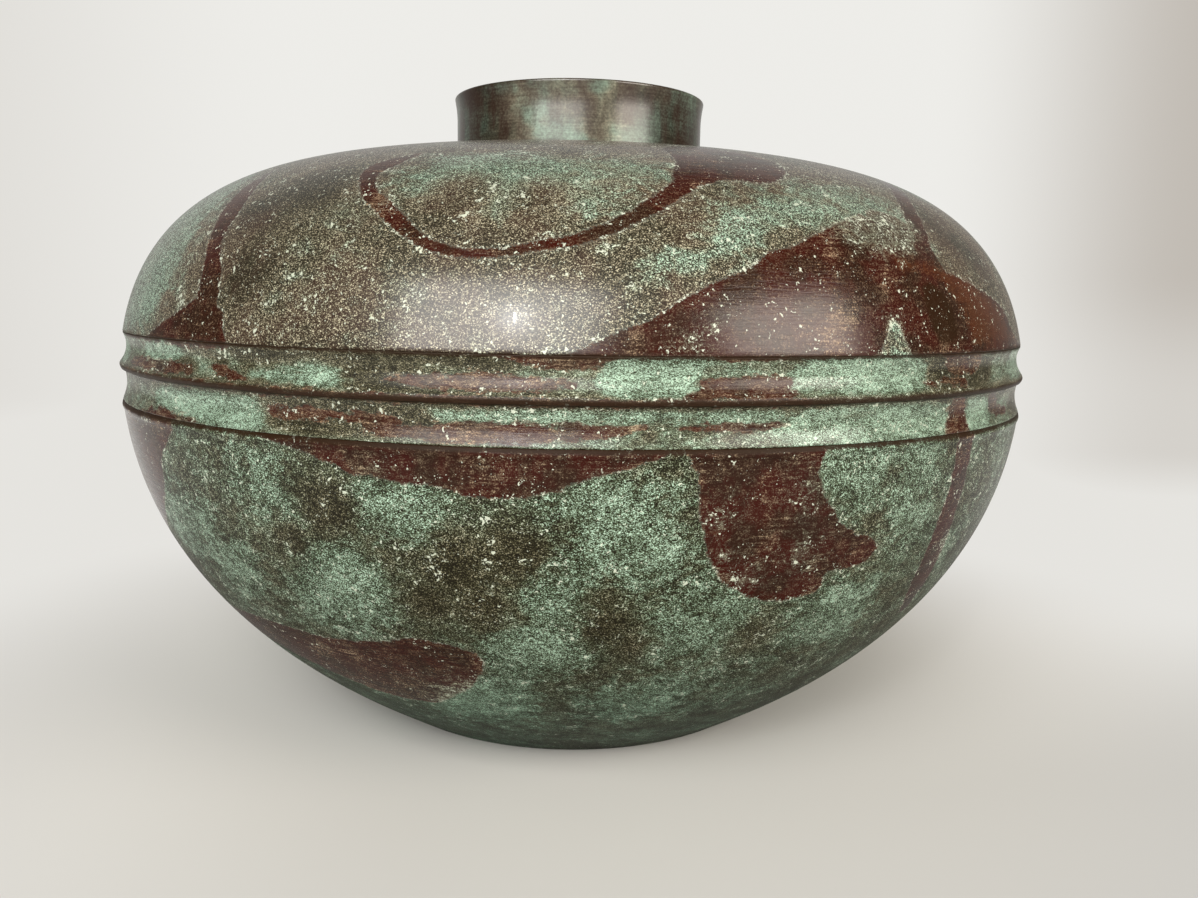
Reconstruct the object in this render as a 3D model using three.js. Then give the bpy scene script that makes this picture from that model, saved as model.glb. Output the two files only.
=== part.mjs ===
// Bronze flower vase: a wide, flattened body of two turned shells on a fluted waist band, with a
// short collar for a neck. Millimetres, +Z up, with the origin on the floor under the vase's centre.
import * as THREE from "three";

// Bowl, the lower shell
const FOOT_RADIUS = 69.2; // outside of the ring that the vase stands on
const FOOT_RING_WIDTH = 5.6;
const FOOT_RECESS = 2; // the underside lies this far up inside the foot ring
const FOOT_EDGE_BEVEL = 0.6;
const BOWL_WALL_HEIGHT = 104.4; // floor to the bead round the bowl's rim
const BODY_RADIUS = 148.66; // at the top of the wall; the bead, the band and the shoulder are set from it
const BOWL_FOOT_HEADING = 33.5; // degrees from level, as the wall leaves the floor
const BOWL_RIM_HEADING = 84.5; // degrees from level, as it reaches the bead
const BOWL_FOOT_PULL = 0.32; // how long the curve keeps its first heading, in widths of the curve
const BOWL_RIM_PULL = 0.58; // how long it has held its last heading, in heights of the curve
const BEAD_HEIGHT = 2.6;
const BEAD_PROUD = 0.44; // how far it stands out past the wall

// Shoulder, the upper shell
const SHOULDER_STEP = 0.59; // the shoulder's rim is this much smaller than the bowl's
const SHOULDER_RISE = 56.86; // band to the foot of the neck
const SHOULDER_RIM_HEADING = 100.5;
const SHOULDER_CREST_HEADING = 178.2;
const SHOULDER_RIM_PULL = 1.036; // in heights of the curve
const SHOULDER_CREST_PULL = 0.305; // in widths of the curve

// Waist band between the shells, from its lower edge up
const LOWER_FLUTE_HEIGHT = 8.9;
const LOWER_FLUTE_DEPTH = 0.75;
const UNDERCUT_DEPTH = 1.45; // the ridge overhangs the lower flute by this much
const UNDERCUT_HEIGHT = 0.7;
const RIDGE_HEIGHT = 1.8;
const RIDGE_PROUD = 0.74; // how far it stands out past the top of the bowl's wall
const UPPER_FLUTE_HEIGHT = 8.9;
const UPPER_FLUTE_DEPTH = 1.3;
const LAP_HEIGHT = 6; // the band's inner lips reach this far up and down behind the shells
const LAP_THICKNESS = 1.8;
const LAP_END_GAP = 1; // the seats inside the shells run this far past the lips
const SEAM_BEVEL = 0.3; // broken edges that leave a fine groove above and below the band

// Neck collar
const NECK_RADIUS = 42.2;
const NECK_HEIGHT = 21.84; // shoulder to rim
const NECK_WALL = 3;
const LIP_FLARE = 0.9; // how far the lip stands out past the neck
const LIP_HEIGHT = 8; // height of the flared part
const LIP_EDGE_BEVEL = 0.6;
const SPIGOT_THICKNESS = 1.7;
const SPIGOT_REACH = 4.8; // the collar's spigot goes this far down through the shoulder

// Base plate that closes the hole in the bowl's floor
const PLATE_RADIUS = 58;
const PLATE_THICKNESS = 2.4;
const PLATE_EDGE_BEVEL = 0.5;
const LEDGE_WIDTH = 4; // the ledge that the plate seats against
const LEDGE_THICKNESS = 2.4;

// Walls and joints
const WALL = 2.8;
const BRAZE_GAP = 0.3; // filled with brazing metal all round each joint
const BRAZE_BEAD = 1; // leg of the bead of brazing metal inside each joint

// Faceting
const SEGMENTS = 64; // round the axis, the same for every piece so that seated faces match
const OUTER_STEPS = 12; // along a shell's outside
const INNER_STEPS = 7; // along its inside
const FLUTE_STEPS = 4;
const RIDGE_STEPS = 4;
const LIP_STEPS = 4;
const LEAST_STEP = 0.3; // no two points of an outline lie closer than this in height

// Heights and radii that follow from the sizes above
const bandBottom = BOWL_WALL_HEIGHT + BEAD_HEIGHT;
const undercutTop = bandBottom + LOWER_FLUTE_HEIGHT + UNDERCUT_HEIGHT;
const ridgeTop = undercutTop + RIDGE_HEIGHT;
const bandTop = ridgeTop + UPPER_FLUTE_HEIGHT;
const neckSeat = bandTop + SHOULDER_RISE;
const rim = neckSeat + NECK_HEIGHT;
const shoulderRimRadius = BODY_RADIUS - SHOULDER_STEP;
const beadRadius = BODY_RADIUS + BEAD_PROUD;
const ridgeRadius = BODY_RADIUS + RIDGE_PROUD;
const bandFootRadius = beadRadius - SEAM_BEVEL;
const spigotRadius = NECK_RADIUS - NECK_WALL + SPIGOT_THICKNESS;
const neckBore = spigotRadius + BRAZE_GAP;
const rebateRadius = PLATE_RADIUS + BRAZE_GAP;
const ledgeHeight = FOOT_RECESS + PLATE_THICKNESS;
const floorHeight = ledgeHeight + LEDGE_THICKNESS;

const at = (radius, height) => new THREE.Vector2(radius, height);

function heading(degrees) {
  const angle = THREE.MathUtils.degToRad(degrees);
  return at(Math.cos(angle), Math.sin(angle));
}

// A shell's outline: one smooth curve with a given heading and pull at each end.
function shellCurve(start, startHeading, startPull, end, endHeading, endPull) {
  const leaving = start.clone().addScaledVector(heading(startHeading), startPull);
  const reaching = end.clone().addScaledVector(heading(endHeading), -endPull);
  return new THREE.CubicBezierCurve(start, leaving, reaching, end);
}

// Points along a curve, set in from it by a depth square to the curve, on the axis side.
function setIn(curve, depth, steps) {
  return Array.from({ length: steps + 1 }, (_, i) => {
    const tangent = curve.getTangent(i / steps);
    return curve.getPoint(i / steps).add(at(-tangent.y, tangent.x).multiplyScalar(depth));
  });
}

// Radius of a rising outline at a height.
function radiusAt(points, height) {
  const next = points.findIndex((p) => p.y >= height);
  if (next < 0) return points.at(-1).x;
  if (next === 0) return points[0].x;
  const low = points[next - 1];
  const high = points[next];
  return THREE.MathUtils.mapLinear(height, low.y, high.y, low.x, high.x);
}

// The part of a rising outline between two heights, cut level at both.
function between(points, low, high) {
  const inside = points.filter((p) => p.y > low + LEAST_STEP && p.y < high - LEAST_STEP);
  return [at(radiusAt(points, low), low), ...inside, at(radiusAt(points, high), high)];
}

// A hollow between two points, bowed towards the axis by a depth.
function flute(start, end, depth, steps) {
  return Array.from({ length: steps + 1 }, (_, i) => {
    const t = i / steps;
    const point = start.clone().lerp(end, t);
    point.x -= depth * 4 * t * (1 - t);
    return point;
  });
}

// The rounded nose of a bead or a ridge, from its lower edge to its upper edge.
function nose(lower, upper, noseRadius, steps) {
  return Array.from({ length: steps + 1 }, (_, i) => {
    const t = i / steps;
    const edge = lower.clone().lerp(upper, t);
    const bulge = Math.sin(Math.PI * t);
    return at(THREE.MathUtils.lerp(edge.x, noseRadius, bulge), edge.y);
  });
}

// A closed section turned about the vase's axis.
function turned(name, section, material) {
  const geometry = new THREE.LatheGeometry([...section, section[0].clone()], SEGMENTS);
  geometry.rotateX(Math.PI / 2);
  const mesh = new THREE.Mesh(geometry, new THREE.MeshStandardMaterial(material));
  mesh.name = name;
  return mesh;
}

const MOTTLED_GREEN = { color: 0x6c7a5f, roughness: 0.42, metalness: 0.85 };
const BROWN_SHOULDER = { color: 0x64584a, roughness: 0.36, metalness: 0.85 };
const GREEN_CRUST = { color: 0x6f8f73, roughness: 0.6, metalness: 0.55 };
const DULL_NECK = { color: 0x5d5a4b, roughness: 0.5, metalness: 0.8 };
const BARE_BRONZE = { color: 0x6b5536, roughness: 0.5, metalness: 0.9 };
const BRAZING_METAL = { color: 0xa08a58, roughness: 0.55, metalness: 0.9 };

const bowlCurve = shellCurve(
  at(FOOT_RADIUS, 0),
  BOWL_FOOT_HEADING,
  BOWL_FOOT_PULL * (BODY_RADIUS - FOOT_RADIUS),
  at(BODY_RADIUS, BOWL_WALL_HEIGHT),
  BOWL_RIM_HEADING,
  BOWL_RIM_PULL * BOWL_WALL_HEIGHT,
);
const bowlInside = setIn(bowlCurve, WALL, INNER_STEPS);
const bowlSeatEnd = bandBottom - LAP_HEIGHT - LAP_END_GAP;
const bowlSeatRadius = radiusAt(bowlInside, bowlSeatEnd);

// Lower shell: it stands on a turned foot ring, ends in a bead, and has a rebated hole in its floor.
function bowlShell() {
  const outside = between(setIn(bowlCurve, 0, OUTER_STEPS), FOOT_EDGE_BEVEL, BOWL_WALL_HEIGHT);
  const beadTop = at(bandFootRadius, bandBottom - SEAM_BEVEL);
  const bead = nose(at(BODY_RADIUS, BOWL_WALL_HEIGHT), beadTop, beadRadius, RIDGE_STEPS);
  const inside = between(bowlInside, floorHeight, bowlSeatEnd).reverse();
  const footInside = FOOT_RADIUS - FOOT_RING_WIDTH;
  return [
    at(FOOT_RADIUS - FOOT_EDGE_BEVEL, 0),
    ...outside,
    ...bead.slice(1),
    at(bandFootRadius - SEAM_BEVEL, bandBottom),
    at(bowlSeatRadius, bandBottom),
    ...inside,
    at(rebateRadius - LEDGE_WIDTH, floorHeight),
    at(rebateRadius - LEDGE_WIDTH, ledgeHeight),
    at(rebateRadius, ledgeHeight),
    at(rebateRadius, FOOT_RECESS),
    at(footInside - FOOT_EDGE_BEVEL, FOOT_RECESS),
    at(footInside, 0),
  ];
}

const shoulderCurve = shellCurve(
  at(shoulderRimRadius, bandTop),
  SHOULDER_RIM_HEADING,
  SHOULDER_RIM_PULL * SHOULDER_RISE,
  at(NECK_RADIUS, neckSeat),
  SHOULDER_CREST_HEADING,
  SHOULDER_CREST_PULL * (shoulderRimRadius - NECK_RADIUS),
);
const shoulderInside = setIn(shoulderCurve, WALL, INNER_STEPS);
const shoulderSeatEnd = bandTop + LAP_HEIGHT + LAP_END_GAP;
const shoulderSeatRadius = radiusAt(shoulderInside, shoulderSeatEnd);

// Upper shell: it is faced level round its bore, where the collar sits.
function shoulderShell() {
  const outside = between(setIn(shoulderCurve, 0, OUTER_STEPS), bandTop + SEAM_BEVEL, neckSeat);
  const inside = between(shoulderInside, shoulderSeatEnd, neckSeat - WALL).reverse();
  return [
    at(shoulderRimRadius - SEAM_BEVEL, bandTop),
    ...outside,
    at(neckBore, neckSeat),
    at(neckBore, neckSeat - WALL),
    ...inside,
    at(shoulderSeatRadius, bandTop),
  ];
}

const lowerLapRadius = bowlSeatRadius - BRAZE_GAP;
const upperLapRadius = shoulderSeatRadius - BRAZE_GAP;
const lapBore = Math.min(lowerLapRadius, upperLapRadius) - LAP_THICKNESS;

// Waist ring: two flutes with a ridge between them, and a lip up and down behind each shell's edge.
function waistBand() {
  const lowerEdge = at(bandFootRadius, bandBottom + SEAM_BEVEL);
  const undercut = at(ridgeRadius - UNDERCUT_DEPTH, undercutTop - UNDERCUT_HEIGHT);
  const ridgeFoot = at(ridgeRadius - SEAM_BEVEL, undercutTop);
  const ridgeEnd = at(ridgeRadius - SEAM_BEVEL, ridgeTop);
  const upperEdge = at(shoulderRimRadius, bandTop - SEAM_BEVEL);
  return [
    at(lowerLapRadius, bandBottom - LAP_HEIGHT),
    at(lowerLapRadius, bandBottom),
    at(bandFootRadius - SEAM_BEVEL, bandBottom),
    ...flute(lowerEdge, undercut, LOWER_FLUTE_DEPTH, FLUTE_STEPS),
    ...nose(ridgeFoot, ridgeEnd, ridgeRadius, RIDGE_STEPS),
    ...flute(ridgeEnd, upperEdge, UPPER_FLUTE_DEPTH, FLUTE_STEPS).slice(1),
    at(shoulderRimRadius - SEAM_BEVEL, bandTop),
    at(upperLapRadius, bandTop),
    at(upperLapRadius, bandTop + LAP_HEIGHT),
    at(lapBore, bandTop + LAP_HEIGHT),
    at(lapBore, bandBottom - LAP_HEIGHT),
  ];
}

// Neck collar: a short tube with a slightly flared lip and a spigot that drops into the shoulder.
function neckCollar() {
  const bore = NECK_RADIUS - NECK_WALL;
  const flareStart = rim - LIP_HEIGHT;
  const flareEnd = rim - LIP_EDGE_BEVEL;
  const lip = Array.from({ length: LIP_STEPS + 1 }, (_, i) => {
    const t = i / LIP_STEPS;
    return at(LIP_FLARE * t * t, THREE.MathUtils.lerp(flareStart, flareEnd, t));
  });
  return [
    at(spigotRadius, neckSeat - SPIGOT_REACH),
    at(spigotRadius, neckSeat),
    at(NECK_RADIUS, neckSeat),
    ...lip.map((p) => at(NECK_RADIUS + p.x, p.y)),
    at(NECK_RADIUS + LIP_FLARE - LIP_EDGE_BEVEL, rim),
    at(bore + LIP_FLARE + LIP_EDGE_BEVEL, rim),
    at(bore + LIP_FLARE, flareEnd),
    at(bore, flareStart),
    at(bore, neckSeat - SPIGOT_REACH),
  ];
}

// Base plate: a disc let into the rebate from below, with a bevelled upper edge.
function basePlate() {
  return [
    at(0, FOOT_RECESS),
    at(PLATE_RADIUS, FOOT_RECESS),
    at(PLATE_RADIUS, ledgeHeight - PLATE_EDGE_BEVEL),
    at(PLATE_RADIUS - PLATE_EDGE_BEVEL, ledgeHeight),
    at(0, ledgeHeight),
  ];
}

// Brazing metal between a lip of the band and its shell, with a bead over the lip's end. Up is 1
// for the upper lip and -1 for the lower one.
function lapBraze(lapRadius, edge, up) {
  const lapEnd = edge + up * LAP_HEIGHT;
  const section = [
    at(lapRadius, edge),
    at(lapRadius + BRAZE_GAP, edge),
    at(lapRadius + BRAZE_GAP, lapEnd + up * LAP_END_GAP),
    at(lapRadius - BRAZE_BEAD, lapEnd),
    at(lapRadius, lapEnd),
  ];
  return up > 0 ? section : section.reverse();
}

// Brazing metal round the spigot, with a bead under the shoulder.
function neckBraze() {
  const underside = neckSeat - WALL;
  const bead = Math.min(BRAZE_BEAD, NECK_RADIUS - neckBore);
  return [
    at(spigotRadius, underside - bead),
    at(neckBore + bead, underside),
    at(neckBore, underside),
    at(neckBore, neckSeat),
    at(spigotRadius, neckSeat),
  ];
}

// Brazing metal round the base plate.
function baseBraze() {
  return [
    at(PLATE_RADIUS, FOOT_RECESS),
    at(rebateRadius, FOOT_RECESS),
    at(rebateRadius, ledgeHeight),
    at(PLATE_RADIUS - PLATE_EDGE_BEVEL, ledgeHeight),
    at(PLATE_RADIUS, ledgeHeight - PLATE_EDGE_BEVEL),
  ];
}

const vase = new THREE.Group();
vase.add(
  turned("bowl_shell", bowlShell(), MOTTLED_GREEN),
  turned("shoulder_shell", shoulderShell(), BROWN_SHOULDER),
  turned("waist_band", waistBand(), GREEN_CRUST),
  turned("neck_collar", neckCollar(), DULL_NECK),
  turned("base_plate", basePlate(), BARE_BRONZE),
  turned("bowl_braze", lapBraze(lowerLapRadius, bandBottom, -1), BRAZING_METAL),
  turned("shoulder_braze", lapBraze(upperLapRadius, bandTop, 1), BRAZING_METAL),
  turned("neck_braze", neckBraze(), BRAZING_METAL),
  turned("base_braze", baseBraze(), BRAZING_METAL),
);

export default vase;
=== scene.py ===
"""Bronze flower vase: the looks of a turned and fluted vase with a mottled green and red patina.

Blender 4.5, metres, +Z up, with the origin on the floor under the vase's centre. Lengths that end
in _MM, and the tables of stains, are in millimetres.
"""

import math

import bmesh
import bpy
import numpy as np
from mathutils import Matrix, Vector


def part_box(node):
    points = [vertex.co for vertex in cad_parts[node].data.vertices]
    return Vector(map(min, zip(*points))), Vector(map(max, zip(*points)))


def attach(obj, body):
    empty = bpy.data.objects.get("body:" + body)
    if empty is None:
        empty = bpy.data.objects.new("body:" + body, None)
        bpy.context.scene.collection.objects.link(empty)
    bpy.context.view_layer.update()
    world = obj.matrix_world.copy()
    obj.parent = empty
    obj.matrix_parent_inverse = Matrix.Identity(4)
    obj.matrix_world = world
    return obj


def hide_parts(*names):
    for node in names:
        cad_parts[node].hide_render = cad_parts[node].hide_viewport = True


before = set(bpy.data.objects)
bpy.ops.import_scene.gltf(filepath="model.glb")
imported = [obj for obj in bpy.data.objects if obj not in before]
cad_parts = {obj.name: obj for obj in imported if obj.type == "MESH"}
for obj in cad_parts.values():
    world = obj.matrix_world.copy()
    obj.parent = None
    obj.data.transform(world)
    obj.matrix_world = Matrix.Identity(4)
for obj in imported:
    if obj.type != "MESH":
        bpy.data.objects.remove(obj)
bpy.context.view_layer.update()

bl_info = {
    "name": "Bronze flower vase",
    "version": (1, 0, 0),
    "blender": (4, 5, 0),
    "location": "3D View > Sidebar > Vase",
    "description": "Dresses the vase's frame in turned pieces with a mottled bronze patina",
    "category": "Object",
}

MM = 0.001
BODY = "root"


def reach(node):
    """A node's outer radius, and its lowest and highest level."""
    low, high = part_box(node)
    return high.x, low.z, high.z


# Levels and radii that come from the frame
RIDGE_RADIUS, LOWER_LIP_END, UPPER_LIP_END = reach("waist_band")
BAND_BOTTOM = reach("bowl_shell")[2]
BAND_TOP, NECK_SEAT = reach("shoulder_shell")[1:]
LIP_RADIUS, SPIGOT_END, RIM = reach("neck_collar")
PLATE_RADIUS, PLATE_UNDERSIDE, PLATE_TOP = reach("base_plate")
REBATE_RADIUS = reach("base_braze")[0]
BOWL_SEAT_RADIUS, BOWL_SEAT_END = reach("bowl_braze")[:2]
SHOULDER_SEAT_RADIUS, _, SHOULDER_SEAT_END = reach("shoulder_braze")
NECK_BEAD_RADIUS = reach("neck_braze")[0]

# Outlines of the two shells, as in the frame, with headings in degrees
BODY_RADIUS = RIDGE_RADIUS - 0.74 * MM
SHOULDER_RADIUS = BODY_RADIUS - 0.59 * MM
BEAD_RADIUS = reach("bowl_shell")[0]
BEAD_HEIGHT = 2.6 * MM
BOWL_WALL_TOP = BAND_BOTTOM - BEAD_HEIGHT
FOOT_RADIUS = 69.2 * MM
FOOT_RING_WIDTH = 5.6 * MM
BOWL_FOOT_HEADING = 33.5
BOWL_RIM_HEADING = 84.5
BOWL_FOOT_PULL = 0.32
BOWL_RIM_PULL = 0.58
SHOULDER_RIM_HEADING = 100.5
SHOULDER_CREST_HEADING = 178.2
SHOULDER_RIM_PULL = 1.036
SHOULDER_CREST_PULL = 0.305

# Band, neck and floor
LOWER_FLUTE_HEIGHT = 8.9 * MM
LOWER_FLUTE_DEPTH = 0.75 * MM
UNDERCUT_DEPTH = 1.45 * MM
UNDERCUT_HEIGHT = 0.7 * MM
RIDGE_HEIGHT = 1.8 * MM
SEAM_BEVEL = 0.3 * MM
UPPER_FLUTE_DEPTH = 1.3 * MM
LIP_THICKNESS = 1.8 * MM
NECK_RADIUS = LIP_RADIUS - 0.9 * MM
NECK_WALL = 3 * MM
FLARE_HEIGHT = 8 * MM
SPIGOT_RADIUS = NECK_RADIUS - 1.3 * MM
LEDGE_WIDTH = 4 * MM
LEDGE_THICKNESS = 2.4 * MM
BRAZE_GAP = 0.3 * MM
BRAZE_BEAD = 1 * MM
PLATE_BEVEL = 0.5 * MM
FOOT_INSIDE_EASE = 0.6 * MM
UNDERCUT_BOW = 0.25 * MM
CLOSEST_POINTS = 0.01 * MM

# How finely the sections are drawn
SKIN_STEPS = 110
WALL_STEPS = 40
FLUTE_STEPS = 28

# Camera, in metres and radians
SENSOR_MM = 36
FRAME_WIDTH_PX = 1198
FOCAL_LENGTH_PX = 1000
LENS_MM = SENSOR_MM * FOCAL_LENGTH_PX / FRAME_WIDTH_PX
CAMERA_PLACE = (0, -0.3631, 0.1402)
CAMERA_PITCH = 0.1525
CAMERA_YAW = 0.0245
CAMERA_ROLL = 0.018


def tone(red, green, blue):
    """A colour given in the usual 0 to 255, as the linear values that Blender works in."""
    parts = (c / 255 for c in (red, green, blue))
    return tuple(c / 12.92 if c <= 0.04045 else ((c + 0.055) / 1.055) ** 2.4 for c in parts)


def colour_property(label, text, value):
    return bpy.props.FloatVectorProperty(
        name=label, description=text, default=value, size=3, subtype="COLOR", min=0, max=1
    )


def length_property(label, text, value):
    return bpy.props.FloatProperty(
        name=label, description=text, default=value, min=0, unit="LENGTH", precision=4
    )


def level_property(label, text, value):
    return bpy.props.FloatProperty(name=label, description=text, default=value, min=0)


class VaseShape(bpy.types.PropertyGroup):
    """Sizes that don't come from the frame."""

    wall: length_property("Wall", "Thickness of the two shells", 2.8 * MM)
    seam_ease: length_property("Seam ease", "Rounding of the edges along the band", 0.3 * MM)
    edge_ease: length_property("Edge ease", "Rounding of the lip and the foot", 0.9 * MM)
    crust_depth: length_property("Crust depth", "How uneven the band's crust is", 0.16 * MM)
    segments: bpy.props.IntProperty(
        name="Segments", description="Facets round the axis", default=480, min=32
    )
    band_segments: bpy.props.IntProperty(
        name="Band segments", description="Facets round the band", default=800, min=32
    )


class VasePatina(bpy.types.PropertyGroup):
    """Colours of the patina."""

    verdigris: colour_property("Verdigris", "Pale green crust", tone(176, 204, 180))
    ash: colour_property("Ash", "Pale grey grain on the brown", tone(196, 188, 160))
    chalk: colour_property("Chalk", "Palest specks", tone(214, 220, 200))
    moss: colour_property("Moss", "Tint of the green crust where it is thin", (0.98, 1, 0.7))
    veil: colour_property("Veil", "Tint of the shoulder's grain where it is thin", (1, 0.92, 0.8))
    # Wash is painted light from the floor: a cooler tint towards the foot
    floor_bounce_tint: colour_property("Wash", "Tint of the patina towards the foot", (0.8, 1, 0.92))
    dust: colour_property("Dust", "Pale film on the red", tone(200, 166, 130))
    olive: colour_property("Olive", "Dark ground under the green", tone(20, 16, 3))
    umber: colour_property("Umber", "Brown ground of the shoulder", tone(42, 25, 16))
    red: colour_property("Red", "Red oxide stains", tone(49, 14, 7))
    plum: colour_property("Plum", "Purple-brown oxide", tone(38, 20, 11))
    # Rust also paints a glint on the band's ridge, as an orange brown streak
    rust_and_glint: colour_property("Rust", "Orange brown streaks", tone(84, 44, 18))
    # Soot darkens the seams, and also paints shade into the undercut under the band's ridge
    soot_and_shade: colour_property("Soot", "Dark deposit in seams and corners", tone(38, 23, 9))
    bare_metal: colour_property("Bare metal", "Turned bronze of the underside", tone(112, 88, 54))
    brazing_metal: colour_property("Brazing metal", "Dull yellow filler", tone(160, 134, 82))


class VaseStudio(bpy.types.PropertyGroup):
    """Floor, lamps and surroundings."""

    paper: colour_property("Paper", "Floor and backdrop", tone(243, 242, 238))
    paper_shade: colour_property("Paper shade", "Backdrop at its sides", tone(198, 192, 184))
    seen_glow: level_property("Seen glow", "Brightness of the backdrop as the camera sees it", 0.95)
    paper_glow: level_property("Paper glow", "Light from the backdrop behind the vase", 0.6)
    room_glow: level_property("Room glow", "Share of it that the rest of the room sends", 0.2)
    floor_glow: level_property("Floor glow", "Light that the far floor sends up", 1.5)
    sky_glow: level_property("Sky glow", "Light from above", 0.15)
    mirrored: level_property("Mirrored", "Share of floor and sky that the vase mirrors", 0.35)
    window_glow: level_property("Window glow", "Brightness of the soft lamp on the left", 8.2)
    side_glow: level_property("Side glow", "Brightness of the soft lamp on the right", 10)
    window_light: colour_property("Window light", "Colour of the left lamp", (1, 0.985, 0.95))
    side_light: colour_property("Side light", "Colour of the right lamp", (1, 0.93, 0.84))
    glint: level_property("Glint", "Brightness of the small lamp", 60)


# Turned sections


def at(radius, height):
    """A point of a section."""
    return np.array([radius, height])


def heading(degrees):
    """A direction in a section: 0 points outwards and 90 up."""
    return np.array([math.cos(math.radians(degrees)), math.sin(math.radians(degrees))])


def shell_curve(start, start_heading, start_pull, end, end_heading, end_pull):
    """One smooth curve with a given heading and pull at each end, as four control points."""
    leaving = start + heading(start_heading) * start_pull
    reaching = end - heading(end_heading) * end_pull
    return np.array([start, leaving, reaching, end])


def along(curve, steps):
    """Evenly timed points on a cubic curve, and the curve's direction at each."""
    t = np.linspace(0, 1, steps + 1)[:, None]
    a, b, c, d = curve
    points = (1 - t) ** 3 * a + 3 * (1 - t) ** 2 * t * b + 3 * (1 - t) * t**2 * c + t**3 * d
    slopes = (1 - t) ** 2 * (b - a) + 2 * (1 - t) * t * (c - b) + t**2 * (d - c)
    return points, slopes / np.linalg.norm(slopes, axis=1, keepdims=True)


def set_in(curve, depth, steps):
    """Points along a curve, set in from it by a depth on the axis side."""
    points, slopes = along(curve, steps)
    return points + depth * np.stack([-slopes[:, 1], slopes[:, 0]], axis=1)


def between(points, low, high):
    """The part of a rising outline between two levels, cut level at both."""
    inside = points[(points[:, 1] > low) & (points[:, 1] < high)]
    ends = [at(np.interp(level, points[:, 1], points[:, 0]), level) for level in (low, high)]
    return np.vstack([ends[0], inside, ends[1]])


def eased(before, corner, after, ease, steps=4):
    """A corner between two points, rounded over a length on both its sides."""
    start, end = (
        corner + (p - corner) / np.linalg.norm(p - corner) * ease for p in (before, after)
    )
    t = np.linspace(0, 1, steps + 1)[:, None]
    return (1 - t) ** 2 * start + 2 * (1 - t) * t * corner + t**2 * end


def bowed(start, end, depth, steps):
    """A hollow between two points, bowed towards the axis."""
    t = np.linspace(0, 1, steps + 1)[:, None]
    return start + (end - start) * t - np.array([depth, 0]) * 4 * t * (1 - t)


def nosed(lower, upper, nose_radius, steps=10):
    """The rounded nose of a ridge, from its lower edge to its upper edge."""
    t = np.linspace(0, 1, steps + 1)
    edge = lower + (upper - lower) * t[:, None]
    swell = np.sin(np.pi * t)
    return np.stack([edge[:, 0] + (nose_radius - edge[:, 0]) * swell, edge[:, 1]], axis=1)


def section(*stretches):
    """A section from stretches of (points, shows): its points, the run up its skin and shows."""
    points, shows = [], []
    for stretch, flag in stretches:
        for point in np.atleast_2d(stretch):
            if points and np.linalg.norm(point - points[-1]) < CLOSEST_POINTS:
                continue
            points.append(point)
            shows.append(flag)
    points, shows = np.array(points), np.array(shows, float)
    steps = np.linalg.norm(np.diff(points, axis=0), axis=1)
    skin_steps = steps * (shows[1:] > 0) * (shows[:-1] > 0)
    return points, np.concatenate([[0], np.cumsum(skin_steps)]), shows


def bowl_curve():
    return shell_curve(
        at(FOOT_RADIUS, 0),
        BOWL_FOOT_HEADING,
        BOWL_FOOT_PULL * (BODY_RADIUS - FOOT_RADIUS),
        at(BODY_RADIUS, BOWL_WALL_TOP),
        BOWL_RIM_HEADING,
        BOWL_RIM_PULL * BOWL_WALL_TOP,
    )


def shoulder_curve():
    rise = NECK_SEAT - BAND_TOP
    return shell_curve(
        at(SHOULDER_RADIUS, BAND_TOP),
        SHOULDER_RIM_HEADING,
        SHOULDER_RIM_PULL * rise,
        at(NECK_RADIUS, NECK_SEAT),
        SHOULDER_CREST_HEADING,
        SHOULDER_CREST_PULL * (SHOULDER_RADIUS - NECK_RADIUS),
    )


def bowl_section(shape):
    outline, _ = along(bowl_curve(), SKIN_STEPS)
    foot = at(FOOT_RADIUS, 0)
    seat_top = at(BOWL_SEAT_RADIUS, BAND_BOTTOM)
    bead_top = at(BEAD_RADIUS - SEAM_BEVEL, BAND_BOTTOM)
    bead = nosed(at(BODY_RADIUS, BOWL_WALL_TOP), bead_top - at(0, SEAM_BEVEL), BEAD_RADIUS)
    foot_inside = FOOT_RADIUS - FOOT_RING_WIDTH
    floor_top = PLATE_TOP + LEDGE_THICKNESS
    ring_corner = at(foot_inside, 0)
    wall = set_in(bowl_curve(), shape.wall, WALL_STEPS)
    inside = between(wall, floor_top, BOWL_SEAT_END)[::-1]
    ring_inside = at(foot_inside - shape.edge_ease, PLATE_UNDERSIDE)
    foot_edge = eased(ring_corner, foot, outline[2], shape.edge_ease)
    rim_edge = eased(bead[-2], bead_top, seat_top, shape.seam_ease)
    return section(
        (foot_edge, 1),
        (between(outline, foot_edge[-1][1], BOWL_WALL_TOP), 1),
        (bead, 1),
        (rim_edge, 1),
        (seat_top, 0),
        (inside, 0),
        (at(REBATE_RADIUS - LEDGE_WIDTH, floor_top), 0),
        (at(REBATE_RADIUS - LEDGE_WIDTH, PLATE_TOP), 0),
        (at(REBATE_RADIUS, PLATE_TOP), 0),
        (at(REBATE_RADIUS, PLATE_UNDERSIDE), 0),
        (ring_inside, 0),
        (eased(ring_inside, ring_corner, foot, FOOT_INSIDE_EASE), 0),
    )


def shoulder_section(shape):
    outline, _ = along(shoulder_curve(), SKIN_STEPS)
    edge = at(SHOULDER_RADIUS, BAND_TOP)
    seat = at(SHOULDER_SEAT_RADIUS, BAND_TOP)
    bore = SPIGOT_RADIUS + BRAZE_GAP
    underside = NECK_SEAT - shape.wall
    wall = set_in(shoulder_curve(), shape.wall, WALL_STEPS)
    inside = between(wall, SHOULDER_SEAT_END, underside)[::-1]
    lower_edge = eased(seat, edge, outline[3], shape.seam_ease)
    return section(
        (lower_edge, 1),
        (between(outline, lower_edge[-1][1], NECK_SEAT), 1),
        (at(bore, NECK_SEAT), 0),
        (at(bore, underside), 0),
        (inside, 0),
        (seat, 0),
    )


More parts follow.
